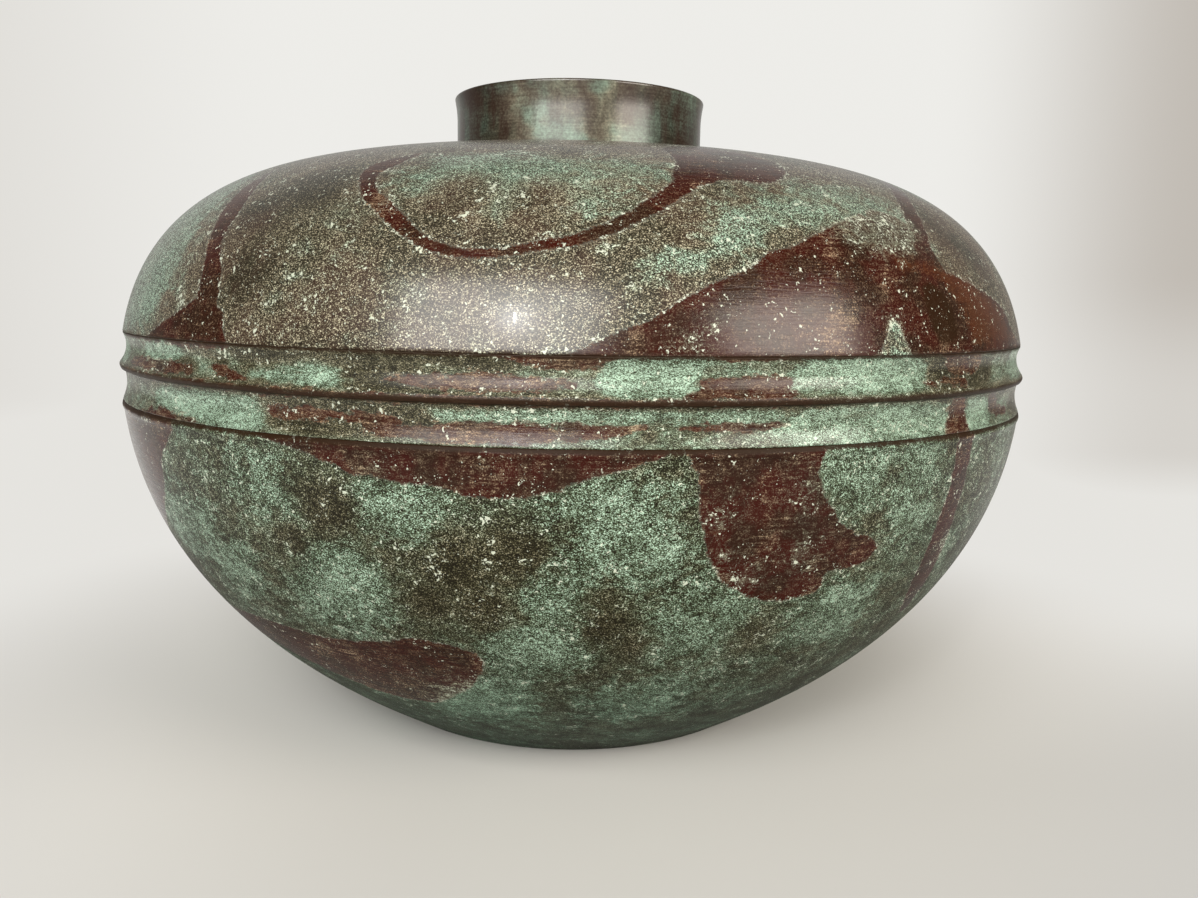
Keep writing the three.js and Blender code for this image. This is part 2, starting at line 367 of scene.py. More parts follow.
def band_section(shape):
    flute_top = BAND_BOTTOM + LOWER_FLUTE_HEIGHT
    undercut_top = flute_top + UNDERCUT_HEIGHT
    ridge_top = undercut_top + RIDGE_HEIGHT
    lip_radius = BOWL_SEAT_RADIUS - BRAZE_GAP
    upper_lip_radius = SHOULDER_SEAT_RADIUS - BRAZE_GAP
    bore = min(lip_radius, upper_lip_radius) - LIP_THICKNESS
    foot_inside = at(lip_radius, BAND_BOTTOM)
    lower_corner = at(BEAD_RADIUS - SEAM_BEVEL, BAND_BOTTOM)
    upper_corner = at(SHOULDER_RADIUS, BAND_TOP)
    undercut = at(RIDGE_RADIUS - UNDERCUT_DEPTH, flute_top)
    ridge_foot = at(RIDGE_RADIUS - SEAM_BEVEL, undercut_top)
    ridge_end = at(RIDGE_RADIUS - SEAM_BEVEL, ridge_top)
    lower_edge = eased(foot_inside, lower_corner, undercut, shape.seam_ease)
    upper_edge = eased(ridge_end, upper_corner, at(upper_lip_radius, BAND_TOP), shape.seam_ease)
    return section(
        (foot_inside, 0),
        (lower_edge, 1),
        (bowed(lower_edge[-1], undercut, LOWER_FLUTE_DEPTH, FLUTE_STEPS), 1),
        (bowed(undercut, ridge_foot, UNDERCUT_BOW, 5), 1),
        (nosed(ridge_foot, ridge_end, RIDGE_RADIUS), 1),
        (bowed(ridge_end, upper_edge[0], UPPER_FLUTE_DEPTH, FLUTE_STEPS), 1),
        (upper_edge, 1),
        (at(upper_lip_radius, BAND_TOP), 0),
        (at(upper_lip_radius, UPPER_LIP_END), 0),
        (at(bore, UPPER_LIP_END), 0),
        (at(bore, LOWER_LIP_END), 0),
        (at(lip_radius, LOWER_LIP_END), 0),
    )


def neck_section(shape):
    bore = NECK_RADIUS - NECK_WALL
    flare_start = RIM - FLARE_HEIGHT
    flare = LIP_RADIUS - NECK_RADIUS
    t = np.linspace(0, 1, 17)
    lip = np.stack([flare * t**2, flare_start + (RIM - flare_start) * t], axis=1)
    outer = lip + at(NECK_RADIUS, 0)
    inner = (lip + at(bore, 0))[::-1]
    rise = np.linspace(0, 1, 13)[:, None]
    wall = at(NECK_RADIUS, NECK_SEAT) + rise * at(0, flare_start - NECK_SEAT)
    bore_wall = at(bore, flare_start) + rise * at(0, SPIGOT_END - flare_start)
    outer_edge = eased(outer[-2], outer[-1], inner[0], shape.edge_ease)
    inner_edge = eased(outer[-1], inner[0], inner[1], shape.edge_ease)
    outer = outer[outer[:, 1] < outer_edge[0][1]]
    inner = inner[inner[:, 1] < inner_edge[-1][1]]
    return section(
        (at(SPIGOT_RADIUS, SPIGOT_END), 0),
        (at(SPIGOT_RADIUS, NECK_SEAT), 0),
        (wall, 1),
        (outer, 1),
        (outer_edge, 1),
        (inner_edge, 1),
        (inner, 1),
        (bore_wall, 1),
    )


def plate_section(shape):
    spread = np.linspace(0, 1, 13)[:, None]
    underside = at(0, PLATE_UNDERSIDE) + spread * at(PLATE_RADIUS, 0)
    top = at(PLATE_RADIUS - PLATE_BEVEL, PLATE_TOP) + spread * at(PLATE_BEVEL - PLATE_RADIUS, 0)
    edge = at(PLATE_RADIUS, PLATE_TOP - PLATE_BEVEL)
    return section((underside, 1), (edge, 0), (top, 0))


def lip_brazing(lip_radius, seam_level, lip_end, seat_end):
    """Filler between a lip and its seat, with a hollow bead of it over the lip's end."""
    lip_corner = at(lip_radius, lip_end)
    seat_corner = at(lip_radius + BRAZE_GAP, seat_end)
    bead = eased(at(lip_radius - BRAZE_BEAD, lip_end), lip_corner, seat_corner, BRAZE_BEAD)
    return section(
        (at(lip_radius, seam_level), 1),
        (lip_corner, 1),
        (bead, 1),
        (seat_corner, 1),
        (at(lip_radius + BRAZE_GAP, seam_level), 1),
    )


# Stains, laid one by one


def wrapped(degrees):
    """An angle brought into -180 to 180."""
    return (degrees + 180) % 360 - 180


def curved(points, closed, steps=6):
    """A smooth line through given points."""
    points = np.array(points, float)
    if closed:
        padded = np.vstack([points[-1], points, points[:2]])
    else:
        padded = np.vstack([2 * points[0] - points[1], points, 2 * points[-1] - points[-2]])
    t = np.arange(steps)[:, None] / steps
    spans = []
    for a, b, c, d in zip(padded, padded[1:], padded[2:], padded[3:]):
        bend = (2 * a - 5 * b + 4 * c - d) * t**2 + (3 * b - a - 3 * c + d) * t**3
        spans.append(b + 0.5 * ((c - a) * t + bend))
    return np.vstack(spans + [padded[-2:-1]])


def line_gaps(azimuth, run, radius, line, widths=None):
    """The least distance of each vertex to a line on the skin, less the line's own half width."""
    least = np.full(azimuth.shape, np.inf)
    scale = np.radians(1) * radius
    widths = np.zeros(len(line)) if widths is None else widths
    for (a0, r0), (a1, r1), w0, w1 in zip(line, line[1:], widths, widths[1:]):
        x, y = wrapped(azimuth - a0) * scale, run - r0
        dx, dy = (a1 - a0) * scale, r1 - r0
        t = np.clip((x * dx + y * dy) / (dx * dx + dy * dy + 1e-9), 0, 1)
        gap = np.hypot(x - t * dx, y - t * dy) - (w0 + t * (w1 - w0))
        least = np.minimum(least, gap)
    return least


def trail(*points):
    """A stain that runs along a line of (azimuth, run, half width) points."""
    line = curved(points, closed=False)
    return lambda azimuth, run, radius: -line_gaps(azimuth, run, radius, line[:, :2], line[:, 2])


def patch(*points):
    """A stain with a closed outline of (azimuth, run) points."""
    line = curved(points, closed=True)
    middle = line[:, 0].mean()

    def depth(azimuth, run, radius):
        around = wrapped(azimuth - middle) + middle
        inside = np.zeros(azimuth.shape, bool)
        for (a0, r0), (a1, r1) in zip(line, line[1:]):
            if r0 == r1:
                continue
            crosses = (r0 > run) != (r1 > run)
            inside ^= crosses & (around < (a1 - a0) * (run - r0) / (r1 - r0) + a0)
        gap = line_gaps(azimuth, run, radius, line)
        return np.where(inside, gap, -gap)

    return depth


def spot(azimuth_at, run_at, size):
    """A round stain of a given radius."""

    def depth(azimuth, run, radius):
        across = wrapped(azimuth - azimuth_at) * np.radians(1) * radius
        return size - np.hypot(across, run - run_at)

    return depth


def spots(*places):
    """Round stains, each an (azimuth, run, radius)."""
    return [spot(*place) for place in places]


def block(first, last, low, high):
    """A stain between two azimuths and two runs."""

    def depth(azimuth, run, radius):
        across = np.abs(wrapped(azimuth - (first + last) / 2)) - (last - first) / 2
        x = across * np.radians(1) * radius
        y = np.abs(run - (low + high) / 2) - (high - low) / 2
        return -(np.hypot(np.maximum(x, 0), np.maximum(y, 0)) + np.minimum(np.maximum(x, y), 0))

    return depth


# Azimuths are degrees round from the front, with the viewer's right positive, and runs are
# millimetres up the skin from the piece's lower edge. Oxide is the red. Crust is where the pale
# skin lies thick, and bare where it is thin, while on the neck's sides the bare blocks are painted
# shade. Rust is an orange tinge, and on the band's ridge a painted glint. Scorch is a dark spot,
# cleared a gap in the oxide and polished a rubbed spot. A piece without any scorch lists it all
# the same, because what isn't written reads as 0, a stain's border.
BOWL_STAINS = {
    "oxide": [
        # Under the band, the large one with its lobe, and a drip down the right side
        patch(
            (-29, 141), (-25, 136.5), (-22, 134), (-19, 132), (-15, 131), (-12, 130.5), (-10, 129),
            (-7, 128), (-2, 130), (1, 133), (4, 135), (6, 141),
        ),
        patch(
            (10.2, 142), (10.6, 134), (11, 127), (12, 117), (13, 111), (15, 105), (19, 99.5),
            (23, 98.5), (26, 101), (26, 106), (30, 107), (32, 111), (30, 115), (28, 117), (26, 120),
            (24, 126), (22.5, 133), (22, 142),
        ),
        trail(
            (42.7, 141, 4.2), (43.2, 126, 4), (43.2, 117, 4.5), (43.9, 106, 5), (45, 94, 5),
            (47, 82, 2),
        ),
        # Low on the left, and at the left edge
        patch(
            (-62, 71), (-51, 76), (-42, 79), (-35, 79), (-30, 79), (-26, 80), (-22, 82), (-18, 85),
            (-15, 84.5), (-12, 83), (-10, 80), (-10.5, 73), (-13, 64), (-18, 53), (-22, 50),
            (-28, 50), (-34, 54), (-41, 59), (-50, 63), (-60, 66),
        ),
        patch((-84, 142), (-82, 112), (-72, 98), (-60, 101), (-51, 116), (-48, 128), (-46, 142)),
        # Round the back
        trail((78, 141, 7), (80, 128, 5), (86, 112, 4), (95, 96, 4), (104, 84, 6), (110, 70, 3)),
        patch(
            (118, 142), (121, 128), (126, 117), (134, 112), (142, 116), (149, 112), (156, 119),
            (160, 130), (164, 142),
        ),
        patch(
            (172, 66), (181, 74), (193, 79), (206, 77), (214, 68), (209, 55), (196, 49), (181, 53),
        ),
        trail((202, 141, 4), (205, 124, 3), (214, 110, 4), (222, 96, 5), (219, 80, 3)),
        patch((232, 142), (236, 122), (243, 108), (252, 104), (258, 114), (256, 128), (260, 142)),
    ],
    "crust": spots(
        (-43, 112, 9), (-31, 127, 8), (-16, 124, 7), (3, 123, 11), (7, 114, 9), (-24, 100, 12),
        (-2, 101, 9), (28, 132, 9), (35, 133, 8), (34, 122, 7), (13, 93, 11), (-4, 86, 10),
        (30, 90, 12), (70, 120, 14), (110, 104, 16), (170, 118, 16), (186, 96, 14),
        (224, 120, 12), (270, 112, 15), (140, 84, 14), (-49, 108, 11), (-40, 98, 12),
        (46, 108, 7), (-12, 55, 14), (8, 58, 14), (13.2, 124, 3.6), (13.6, 113, 3.4),
        (22, 129, 4.6), (22, 114, 4.6), (17, 106, 3.2),
    ),
    "bare_and_shade": spots(
        (-23, 122, 7), (-17, 115, 5), (-11, 111, 8), (-5, 112, 9), (-28, 111, 6), (2, 95, 7),
        (7, 87, 5), (-8, 98, 8), (19, 88, 5), (-14, 99, 5), (62, 100, 10), (92, 124, 9),
        (128, 96, 11), (178, 104, 8), (238, 88, 10), (268, 94, 9),
    ),
    "rust_and_glint": [
        block(9, 15, 119.4, 120.6),
        block(24, 28, 121.4, 122.6),
        block(180, 187, 121, 122.4),
    ],
    "scorch": [],
}

SHOULDER_STAINS = {
    "oxide": [
        # A drip down the left side with its pool
        trail(
            (-47, 60, 0.5), (-45, 49, 3), (-43.2, 40, 4.4), (-42.1, 34, 4), (-41.2, 27, 3),
            (-39.9, 21, 3.3), (-39, 16, 4.2), (-38.6, 11, 4.6), (-38.8, 6, 6),
        ),
        patch(
            (-51, -4), (-49, 1.5), (-45.5, 5), (-42, 9), (-40, 11), (-36, 9), (-35, 4), (-35, -4),
        ),
        # The loop in front of the neck, and the blot at its right end
        trail(
            (-21.5, 63, 1), (-24, 56, 3.6), (-24.9, 51, 2.6), (-23.6, 45, 2), (-21.8, 40, 2.1),
            (-20.1, 37, 2.2), (-17.8, 32, 2.1), (-15.6, 28, 1.7), (-13.5, 25, 1.4),
            (-10.7, 23.3, 1.2), (-7.2, 23.3, 1.3), (-4.2, 25, 1.3), (-1.2, 26.4, 1.5),
            (1.7, 29, 1.6), (4.6, 33, 2), (7.5, 38, 2.3), (9.9, 43, 2.4), (12.5, 49.5, 3.4),
        ),
        patch(
            (10.5, 50), (12, 60), (12.5, 74), (19, 82), (25, 76), (28, 64), (26, 55), (22, 49.5),
            (17, 50), (13, 46.5),
        ),
        # The large one at the lower right, and the drip that runs into it
        patch(
            (-1, -3), (0, 1), (3, 5), (6, 8), (8, 11), (10, 14), (13, 18), (16, 21), (18, 25),
            (21, 27), (24, 30.5), (27, 34), (31, 38), (35, 41), (39, 38), (40, 30), (41, 23.5),
            (45, 20), (50, 16.5), (55, 12), (58, 5), (60, -3),
        ),
        trail(
            (56, 72, 1), (51.4, 59, 3), (45.5, 48, 3), (42, 38, 3.4), (39.8, 29, 4), (40, 22, 4.5),
        ),
        # Round the back
        patch((78, -4), (80, 8), (86, 16), (96, 19), (104, 14), (112, 17), (120, 10), (124, -4)),
        trail(
            (100, 18, 2), (104, 30, 3.4), (112, 40, 2.6), (124, 47, 2.4), (138, 49, 3),
            (152, 44, 2.4),
        ),
        trail((152, 44, 2.4), (160, 34, 2.6), (163, 22, 3.6), (160, 10, 5), (156, -3, 9)),
        patch((176, 56), (186, 64), (199, 66), (208, 58), (204, 47), (192, 42), (181, 46)),
        patch(
            (206, -4), (210, 7), (219, 14), (230, 12), (238, 20), (249, 22), (258, 12), (262, -4),
        ),
        trail((240, 21, 2), (246, 34, 3), (256, 46, 3), (262, 60, 3.4), (262, 74, 1)),
    ],
    "crust": [
        patch(
            (-18, 39), (-20, 48), (-17, 57), (-9, 62), (0, 62), (7, 62), (11, 56), (9, 46),
            (6, 38.5), (1, 32), (-4, 30), (-9, 31), (-13, 35),
        ),
        patch(
            (6, 19), (11, 28), (15, 38), (20, 45), (27, 48), (34, 50), (36, 46), (30, 38), (24, 33),
            (18, 27), (12, 20),
        ),
        patch((-74, 2), (-72, 40), (-56, 60), (-49, 46), (-47, 32), (-46, 20), (-47, 11), (-52, 3)),
        patch((27.5, -3), (29, 5), (30, 9.5), (31.5, 10), (32.5, 5), (34, -3)),
        patch((26, 31), (29, 44), (37, 48), (41, 38), (40, 27), (33, 23)),
        spot(37.5, 8.6, 1.6),
        patch((7.5, 0.5), (8, 4), (10, 6.5), (12, 7), (11, 4), (9.5, 0.5)),
        *spots(
            (-12, 54, 8), (27, 41, 10), (34, 41, 7), (70, 30, 18), (92, 44, 16), (134, 26, 20),
            (182, 24, 18), (222, 42, 16), (280, 34, 16), (170, 66, 14), (300, 70, 14), (60, 66, 14),
        ),
    ],
    "bare_and_shade": [
        patch(
            (36.5, 15), (38, 20), (40, 22), (42, 18), (42.5, 12), (42.5, 6), (41, 1), (38.5, 2),
            (37.3, 8),
        ),
        *spots(
            (-12, 40, 8), (-4, 38, 7), (-31, 46, 9), (48, 36, 9), (53, 26, 8), (-36, 36, 8),
            (-34, 18, 7), (120, 34, 10), (200, 34, 12), (290, 50, 10), (88, 8, 5), (232, 8, 5),
        ),
    ],
    "rust_and_glint": [
        patch((106, 12), (112, 14), (117, 8), (116, 1), (109, 1)),
        patch(
            (32, 27), (37, 27), (43, 23), (50, 17.5), (55, 10), (57, 2), (45, 1), (43, 10),
            (39, 19), (34, 21),
        ),
    ],
    "scorch": [
        patch((37.4, 19), (36, 15), (36.4, 8), (37.8, 2.6), (40.8, 3.4), (41, 10), (40, 16)),
    ],
    "cleared": [
        patch((28.6, -3), (29.6, 4), (30.6, 8), (31.4, 8), (32.2, 4), (33.2, -3)),
        *spots((33, 39.5, 1.2), (36.5, 35.5, 1), (30, 36.4, 0.8), (38.6, 41, 1.4)),
    ],
    "polished": [trail((-5.4, 10, 0.5), (-5.1, 8.2, 1.2), (-5, 6.6, 1), (-4.9, 4, 0.3))],
}

BAND_STAINS_AND_GLINT = {
    "oxide": [
        # Along the ridge, bare of crust there
        block(-180, 21, 9.6, 12),
        block(56, 180, 9.6, 12),
        # In the upper flute, then in the lower one
        trail(
            (-57, 14.4, 0.4), (-52, 14.6, 1.5), (-46, 14.6, 1.6), (-41, 14.4, 1.4),
            (-39.5, 13.4, 0.5),
        ),
        trail(
            (-60, 22, 0.3), (-54, 21.6, 0.7), (-44, 21.5, 0.9), (-37, 21.6, 1.1), (-34, 21.9, 0.5),
        ),
        trail((-37, 15.6, 0.4), (-35, 15.3, 1.4), (-33.5, 14.4, 1.1), (-31.5, 13.8, 0.4)),
        patch((-6.5, 23), (-6, 20.6), (-3.5, 19.3), (0, 19), (2.5, 20), (3.6, 23)),
        patch(
            (10, 12.4), (10.2, 14.5), (11, 16.6), (13.5, 17.5), (18.8, 17.3), (19.3, 15),
            (19.2, 12.4),
        ),
        trail((12, 22, 0.4), (15, 21.6, 0.8), (18.5, 22, 0.4)),
        trail((35, 14.9, 0.3), (38, 14.9, 0.8), (41, 14.6, 1.2), (43, 13.9, 0.5)),
        patch((38.5, 23), (38.8, 20), (40, 17), (42.5, 16.2), (45.5, 17.5), (46, 20), (45, 23)),
        trail((-19, 2.6, 0.3), (-13, 3, 2), (-7, 3.4, 2.4), (0, 3.8, 2), (6, 5, 0.4)),
        trail((-17, 15.6, 0.4), (-12, 15.6, 1.7), (-5, 15.4, 1.9), (0, 15.2, 0.6)),
        trail((9, 5, 0.4), (12, 5, 0.9), (17, 5.2, 0.7), (19, 5.4, 0.3)),
        patch((-53, -2), (-50, 1.6), (-44, 2.2), (-40, 1.5), (-39, -2)),
        patch((-29, 6.6), (-27, 3.4), (-22, 4.5), (-17, 3), (-15, 5.5), (-20, 7)),
        patch((40.4, 9.4), (39.6, 4), (39, -1), (43, -1), (43.2, 5), (42.6, 9.4)),
        patch((49, 9), (49, 5.5), (50.5, 3.4), (54, 2.2), (56, 4.4), (52.5, 5.8), (51, 9)),
        # Round the back
        patch((66, 3), (70, 6), (76, 7.6), (80, 5), (76, 2)),
        patch((82, 23), (85, 16), (91, 13.6), (97, 15), (99, 23)),
        trail((102, 2, 0.5), (107, 4, 1.6), (114, 3.4, 1), (119, 4.4, 0.4)),
        patch((122, 13), (124, 16), (131, 18), (139, 17), (141, 13)),
        trail((143, 8, 0.4), (150, 6, 1.4), (158, 6.6, 1.2), (164, 5, 0.3)),
        patch((160, 23), (161, 17), (165, 13), (169, 16), (168, 23)),
        patch((183, 23), (186, 19), (194, 16.6), (203, 18), (206, 23)),
        patch((196, -1), (201, 3), (210, 4.6), (219, 2.4), (222, -1)),
        patch((231, 12.4), (232, 18), (236, 21), (240, 17), (239, 12.4)),
        trail((252, 15, 0.5), (259, 16.4, 1.8), (268, 15.6, 1.6), (276, 17, 0.4)),
        patch((266, 4), (272, 7.4), (281, 7), (284, 3), (276, 1.4)),
    ],
    "crust": [
        patch((-51, 15.6), (-51, 20), (-46, 21.6), (-42.6, 20), (-43.5, 17.4), (-46, 15.6)),
        trail((-31, 14.9, 0.6), (-28, 15, 1.2), (-22, 15.2, 1.4), (-20, 15.2, 0.5)),
        patch((3, 13), (2, 17), (4, 21.4), (10.5, 21), (10, 17), (9.6, 13)),
        patch((19.6, 12.8), (19.4, 17), (20, 21.5), (27, 21.8), (35, 21.5), (36, 17), (34, 13)),
        patch(
            (-48, 3), (-47, 7.5), (-38, 8.6), (-30, 8), (-29, 4.6), (-31, 1), (-40, 0.5),
            (-44, 2.6),
        ),
        trail((-12, 6.8, 0.8), (0, 7.2, 1.4), (10, 7.6, 1.2), (18, 7.4, 1.2)),
        patch((19.5, 0.4), (19.8, 8.6), (28, 8.8), (38.4, 8.4), (38.2, 0.3)),
        patch((43.6, 0.3), (43.6, 8.6), (48.4, 8.4), (48.6, 0.6)),
        patch((56, 14), (57, 20), (64, 21.4), (73, 19), (74, 15), (66, 13.4)),
        patch((80, 1), (82, 7), (90, 8.6), (99, 7), (100, 2), (90, 0.4)),
        patch((100, 14), (104, 20), (114, 21.6), (122, 20), (119, 15), (108, 13)),
        patch((122, 1), (124, 7), (134, 8.8), (141, 6), (139, 1.6)),
        patch((143, 14), (146, 20), (153, 21.6), (160, 19), (158, 14)),
        patch((169, 1), (170, 7), (180, 8.6), (193, 7), (194, 2), (182, 0.4)),
        patch((170, 13.4), (171, 20), (178, 21), (184, 16), (180, 13)),
        patch((206, 13.6), (208, 20), (218, 21.6), (229, 19), (229, 14)),
        patch((224, 1), (226, 7.6), (240, 8.8), (256, 8), (262, 3), (244, 0.6)),
        patch((278, 14), (282, 20.6), (292, 21.6), (300, 19), (299, 14)),
    ],
    "bare_and_shade": [
        block(-180, 180, 9, 12.6),
        patch((-43.5, 14.6), (-42, 17), (-40, 16.4), (-39.6, 14.2)),
        trail((-43, 20.4, 0.4), (-40, 20.6, 0.9), (-37, 18.8, 0.5), (-35, 17.2, 0.9)),
        patch((-20.5, 13), (-20.5, 19), (-15, 20), (-13, 17), (-14, 13)),
        patch(
            (-34, 20), (-30, 18), (-24, 20), (-20, 18), (-12, 19.6), (-7, 18), (-6, 22), (-30, 22),
        ),
        trail((22, 14.8, 0.9), (24.6, 14.6, 1)),
        trail((24, 7, 0.5), (26.5, 6.8, 1.2), (28.4, 6.9, 0.5)),
        patch((-30, 8), (-28, 2), (-18, 1.6), (-13, 3), (-12, 6), (-15, 8.4)),
        trail((-15, 3.6, 0.8), (0, 3.6, 0.5)),
        *spots((10, 7, 0.8), (6.3, 3.6, 0.8), (2, 7.4, 0.9), (32.6, 18.6, 0.9), (21.5, 17.4, 0.7)),
        trail((21.8, 10.6, 0.3), (22, 9.4, 0.6), (22.8, 8.8, 0.4)),
        patch((36, 13), (37, 21), (45, 21), (49, 18), (46, 13)),
        patch((57, 3), (60, 7.6), (66, 7), (64, 2)),
        patch((108, 2), (112, 8), (119, 7), (117, 1)),
        patch((176, 18), (182, 20.6), (188, 17), (181, 15)),
        patch((242, 13), (244, 20), (251, 21), (252, 14)),
        patch((206, 6), (212, 8.6), (221, 7), (214, 4)),
    ],
    "rust_and_glint": [
        # A painted glint on the ridge
        trail((22, 12, 0.1), (26, 11.9, 0.4), (29, 12, 0.1)),
        trail((38, 1.4, 0.2), (39.5, 2, 0.5), (40.5, 2.6, 0.2)),
        # The same painted glint, copied round the back
        trail((180, 11.8, 0.2), (190, 12, 0.5), (200, 11.8, 0.2)),
    ],
    "scorch": [],
}

NECK_STAINS_AND_SHADE = {
    "crust": spots((-27, 16, 5), (20, 4, 6), (120, 12, 8), (-20, 8, 6)),
    # The two bare blocks at the neck's sides are painted shade where it turns away from the light;
    # the third lies round the back
    "bare_and_shade": [block(24, 76, -2, 20), block(-74, -36, 2, 26), block(150, 190, 4, 26)],
}


# Node trees


class Wire:
    """One value in a node tree, so that node maths reads as plain arithmetic."""

    def __init__(self, sheet, socket):
        self.sheet = sheet
        self.socket = socket

    def maths(self, operation, *values, clamp=False):
        settings = {"operation": operation, "use_clamp": clamp}
        return self.sheet.node("ShaderNodeMath", settings, dict(enumerate(values)))

    def __add__(self, other):
        return self.maths("ADD", self, other)

    def __sub__(self, other):
        return self.maths("SUBTRACT", self, other)

    def __rsub__(self, other):
        return self.maths("SUBTRACT", other, self)

    def __mul__(self, other):
        return self.maths("MULTIPLY", self, other)

    def __truediv__(self, other):
        return self.maths("DIVIDE", self, other)

    def __mod__(self, other):
        return self.maths("FLOORED_MODULO", self, other)

    def __abs__(self):
        return self.maths("ABSOLUTE", self)

    def __pow__(self, other):
        return self.maths("POWER", self, other)

    __radd__ = __add__
    __rmul__ = __mul__

    def floor(self):
        return self.maths("FLOOR", self)

    def cos(self):
        return self.maths("COSINE", self)

    def sin(self):
        return self.maths("SINE", self)

    def highest(self, other):
        return self.maths("MAXIMUM", self, other)

    def lowest(self, other):
        return self.maths("MINIMUM", self, other)

    def clamped(self):
        return self.maths("ADD", self, 0, clamp=True)

    def ramp(self, low, high):
        """0 below low, 1 above high and an eased rise between them."""
        settings = {"interpolation_type": "SMOOTHSTEP"}
        values = {"Value": self, "From Min": low, "From Max": high}
        return self.sheet.node("ShaderNodeMapRange", settings, values)


class Sheet:
    """A node tree that nodes are added to."""

    def __init__(self, tree):
        self.tree = tree

    def node(self, kind, settings=None, values=None, out=0):
        """A node with its settings, then its sockets' values or links, as the wire from out."""
        node = self.tree.nodes.new(kind)
        for name, value in (settings or {}).items():
            setattr(node, name, value)
        for key, value in (values or {}).items():
            socket = node.inputs[key] if isinstance(key, int) else self.named(node.inputs, key)
            if isinstance(value, Wire):
                self.tree.links.new(value.socket, socket)
            else:
                socket.default_value = value
        socket = node.outputs[out] if isinstance(out, int) else self.named(node.outputs, out)
        return Wire(self, socket)

    @staticmethod
    def named(sockets, key):
        """A socket by its identifier, or else by its name."""
        for socket in sockets:
            if socket.identifier == key:
                return socket
        return sockets[key]

    def mix(self, factor, first, second):
        """A colour that goes from first to second."""
        values = {"Factor_Float": factor}
        for key, colour in (("A_Color", first), ("B_Color", second)):
            values[key] = colour if isinstance(colour, Wire) else (*colour, 1)
        return self.node("ShaderNodeMix", {"data_type": "RGBA"}, values, "Result_Color")

    def tinted(self, colour, tint):
        """A colour multiplied by a fixed one."""
        values = {"Factor_Float": 1, "A_Color": colour, "B_Color": (*tint, 1)}
        settings = {"data_type": "RGBA", "blend_type": "MULTIPLY"}
        return self.node("ShaderNodeMix", settings, values, "Result_Color")

    def vector(self, x, y, z):
        return self.node("ShaderNodeCombineXYZ", None, {0: x, 1: y, 2: z})

    def length(self, vector):
        return self.node("ShaderNodeVectorMath", {"operation": "LENGTH"}, {0: vector}, "Value")

    def split(self, vector):
        first = self.node("ShaderNodeSeparateXYZ", None, {0: vector})
        others = [Wire(self, first.socket.node.outputs[i]) for i in (1, 2)]
        return [first, *others]


# Turned pieces

STAIN_REACH_MM = 14
SEAM_REACH_MM = 10
HARD_EDGE_DEGREES = 38
LATHE_WELD = 2e-6


def lathe_tree():
    """Turns a section about the Z axis: each column of a grid takes the section's points."""
    tree = bpy.data.node_groups.new("Lathe", "GeometryNodeTree")
    sheet = Sheet(tree)
    for name, kind in (
        ("Section", "NodeSocketGeometry"),
        ("Segments", "NodeSocketInt"),
        ("Crust depth", "NodeSocketFloat"),
        ("Finish", "NodeSocketMaterial"),
    ):
        tree.interface.new_socket(name, in_out="INPUT", socket_type=kind)
    tree.interface.new_socket("Turned piece", in_out="OUTPUT", socket_type="NodeSocketGeometry")
    group = tree.nodes.new("NodeGroupInput")
    outline, segments, crust_depth, finish = (Wire(sheet, group.outputs[i]) for i in range(4))
    count = sheet.node("GeometryNodeAttributeDomainSize", {"component": "MESH"}, {0: outline})
    grid = sheet.node(
        "GeometryNodeMeshGrid", None, {"Vertices X": segments + 1, "Vertices Y": count + 1}
    )
    index = sheet.node("GeometryNodeInputIndex")
    column = (index / (count + 1)).floor()
    row = (index - column * (count + 1)) % count

    def sampled(kind, value):
        values = {"Geometry": outline, "Value": value, "Index": row}
        return sheet.node("GeometryNodeSampleIndex", {"data_type": kind}, values)

    def kept(name):
        return sheet.node(
            "GeometryNodeInputNamedAttribute", {"data_type": "FLOAT"}, {"Name": name}
        )

    place = sampled("FLOAT_VECTOR", sheet.node("GeometryNodeInputPosition"))
    radius, _, level = sheet.split(place)
    angle = column * (2 * math.pi) / segments
    turned = sheet.vector(radius * angle.sin(), radius * angle.cos() * -1, level)
    piece = sheet.node("GeometryNodeSetPosition", None, {"Geometry": grid, "Position": turned})
    for name in ("run", "shows"):
        piece = sheet.node(
            "GeometryNodeStoreNamedAttribute",
            {"data_type": "FLOAT", "domain": "POINT"},
            {"Geometry": piece, "Name": name, "Value": sampled("FLOAT", kept(name))},
        )
    piece = sheet.node(
        "GeometryNodeMergeByDistance", None, {"Geometry": piece, "Distance": LATHE_WELD}
    )

    # Dents in the crust, inwards only, so that nothing stands proud of the section
    here = sheet.node("GeometryNodeInputPosition")
    lumps = sheet.node(
        "ShaderNodeTexNoise",
        {"noise_dimensions": "3D"},
        {"Vector": here, "Scale": 150, "Detail": 4, "Roughness": 0.65},
    )
    x, y, _ = sheet.split(here)
    level_place = sheet.vector(x, y, 0)
    away = sheet.node("ShaderNodeVectorMath", {"operation": "NORMALIZE"}, {0: level_place})
    depth = (lumps - 0.75).lowest(0) * crust_depth * kept("shows") * 2
    dent = sheet.node(
        "ShaderNodeVectorMath", {"operation": "SCALE"}, {"Vector": away, "Scale": depth}
    )
    piece = sheet.node("GeometryNodeSetPosition", None, {"Geometry": piece, "Offset": dent})
    piece = sheet.node("GeometryNodeRealizeInstances", None, {"Geometry": piece})
    piece = sheet.node("GeometryNodeSetMaterial", None, {"Geometry": piece, "Material": finish})
    output = tree.nodes.new("NodeGroupOutput")
    tree.links.new(piece.socket, output.inputs[0])
    return tree


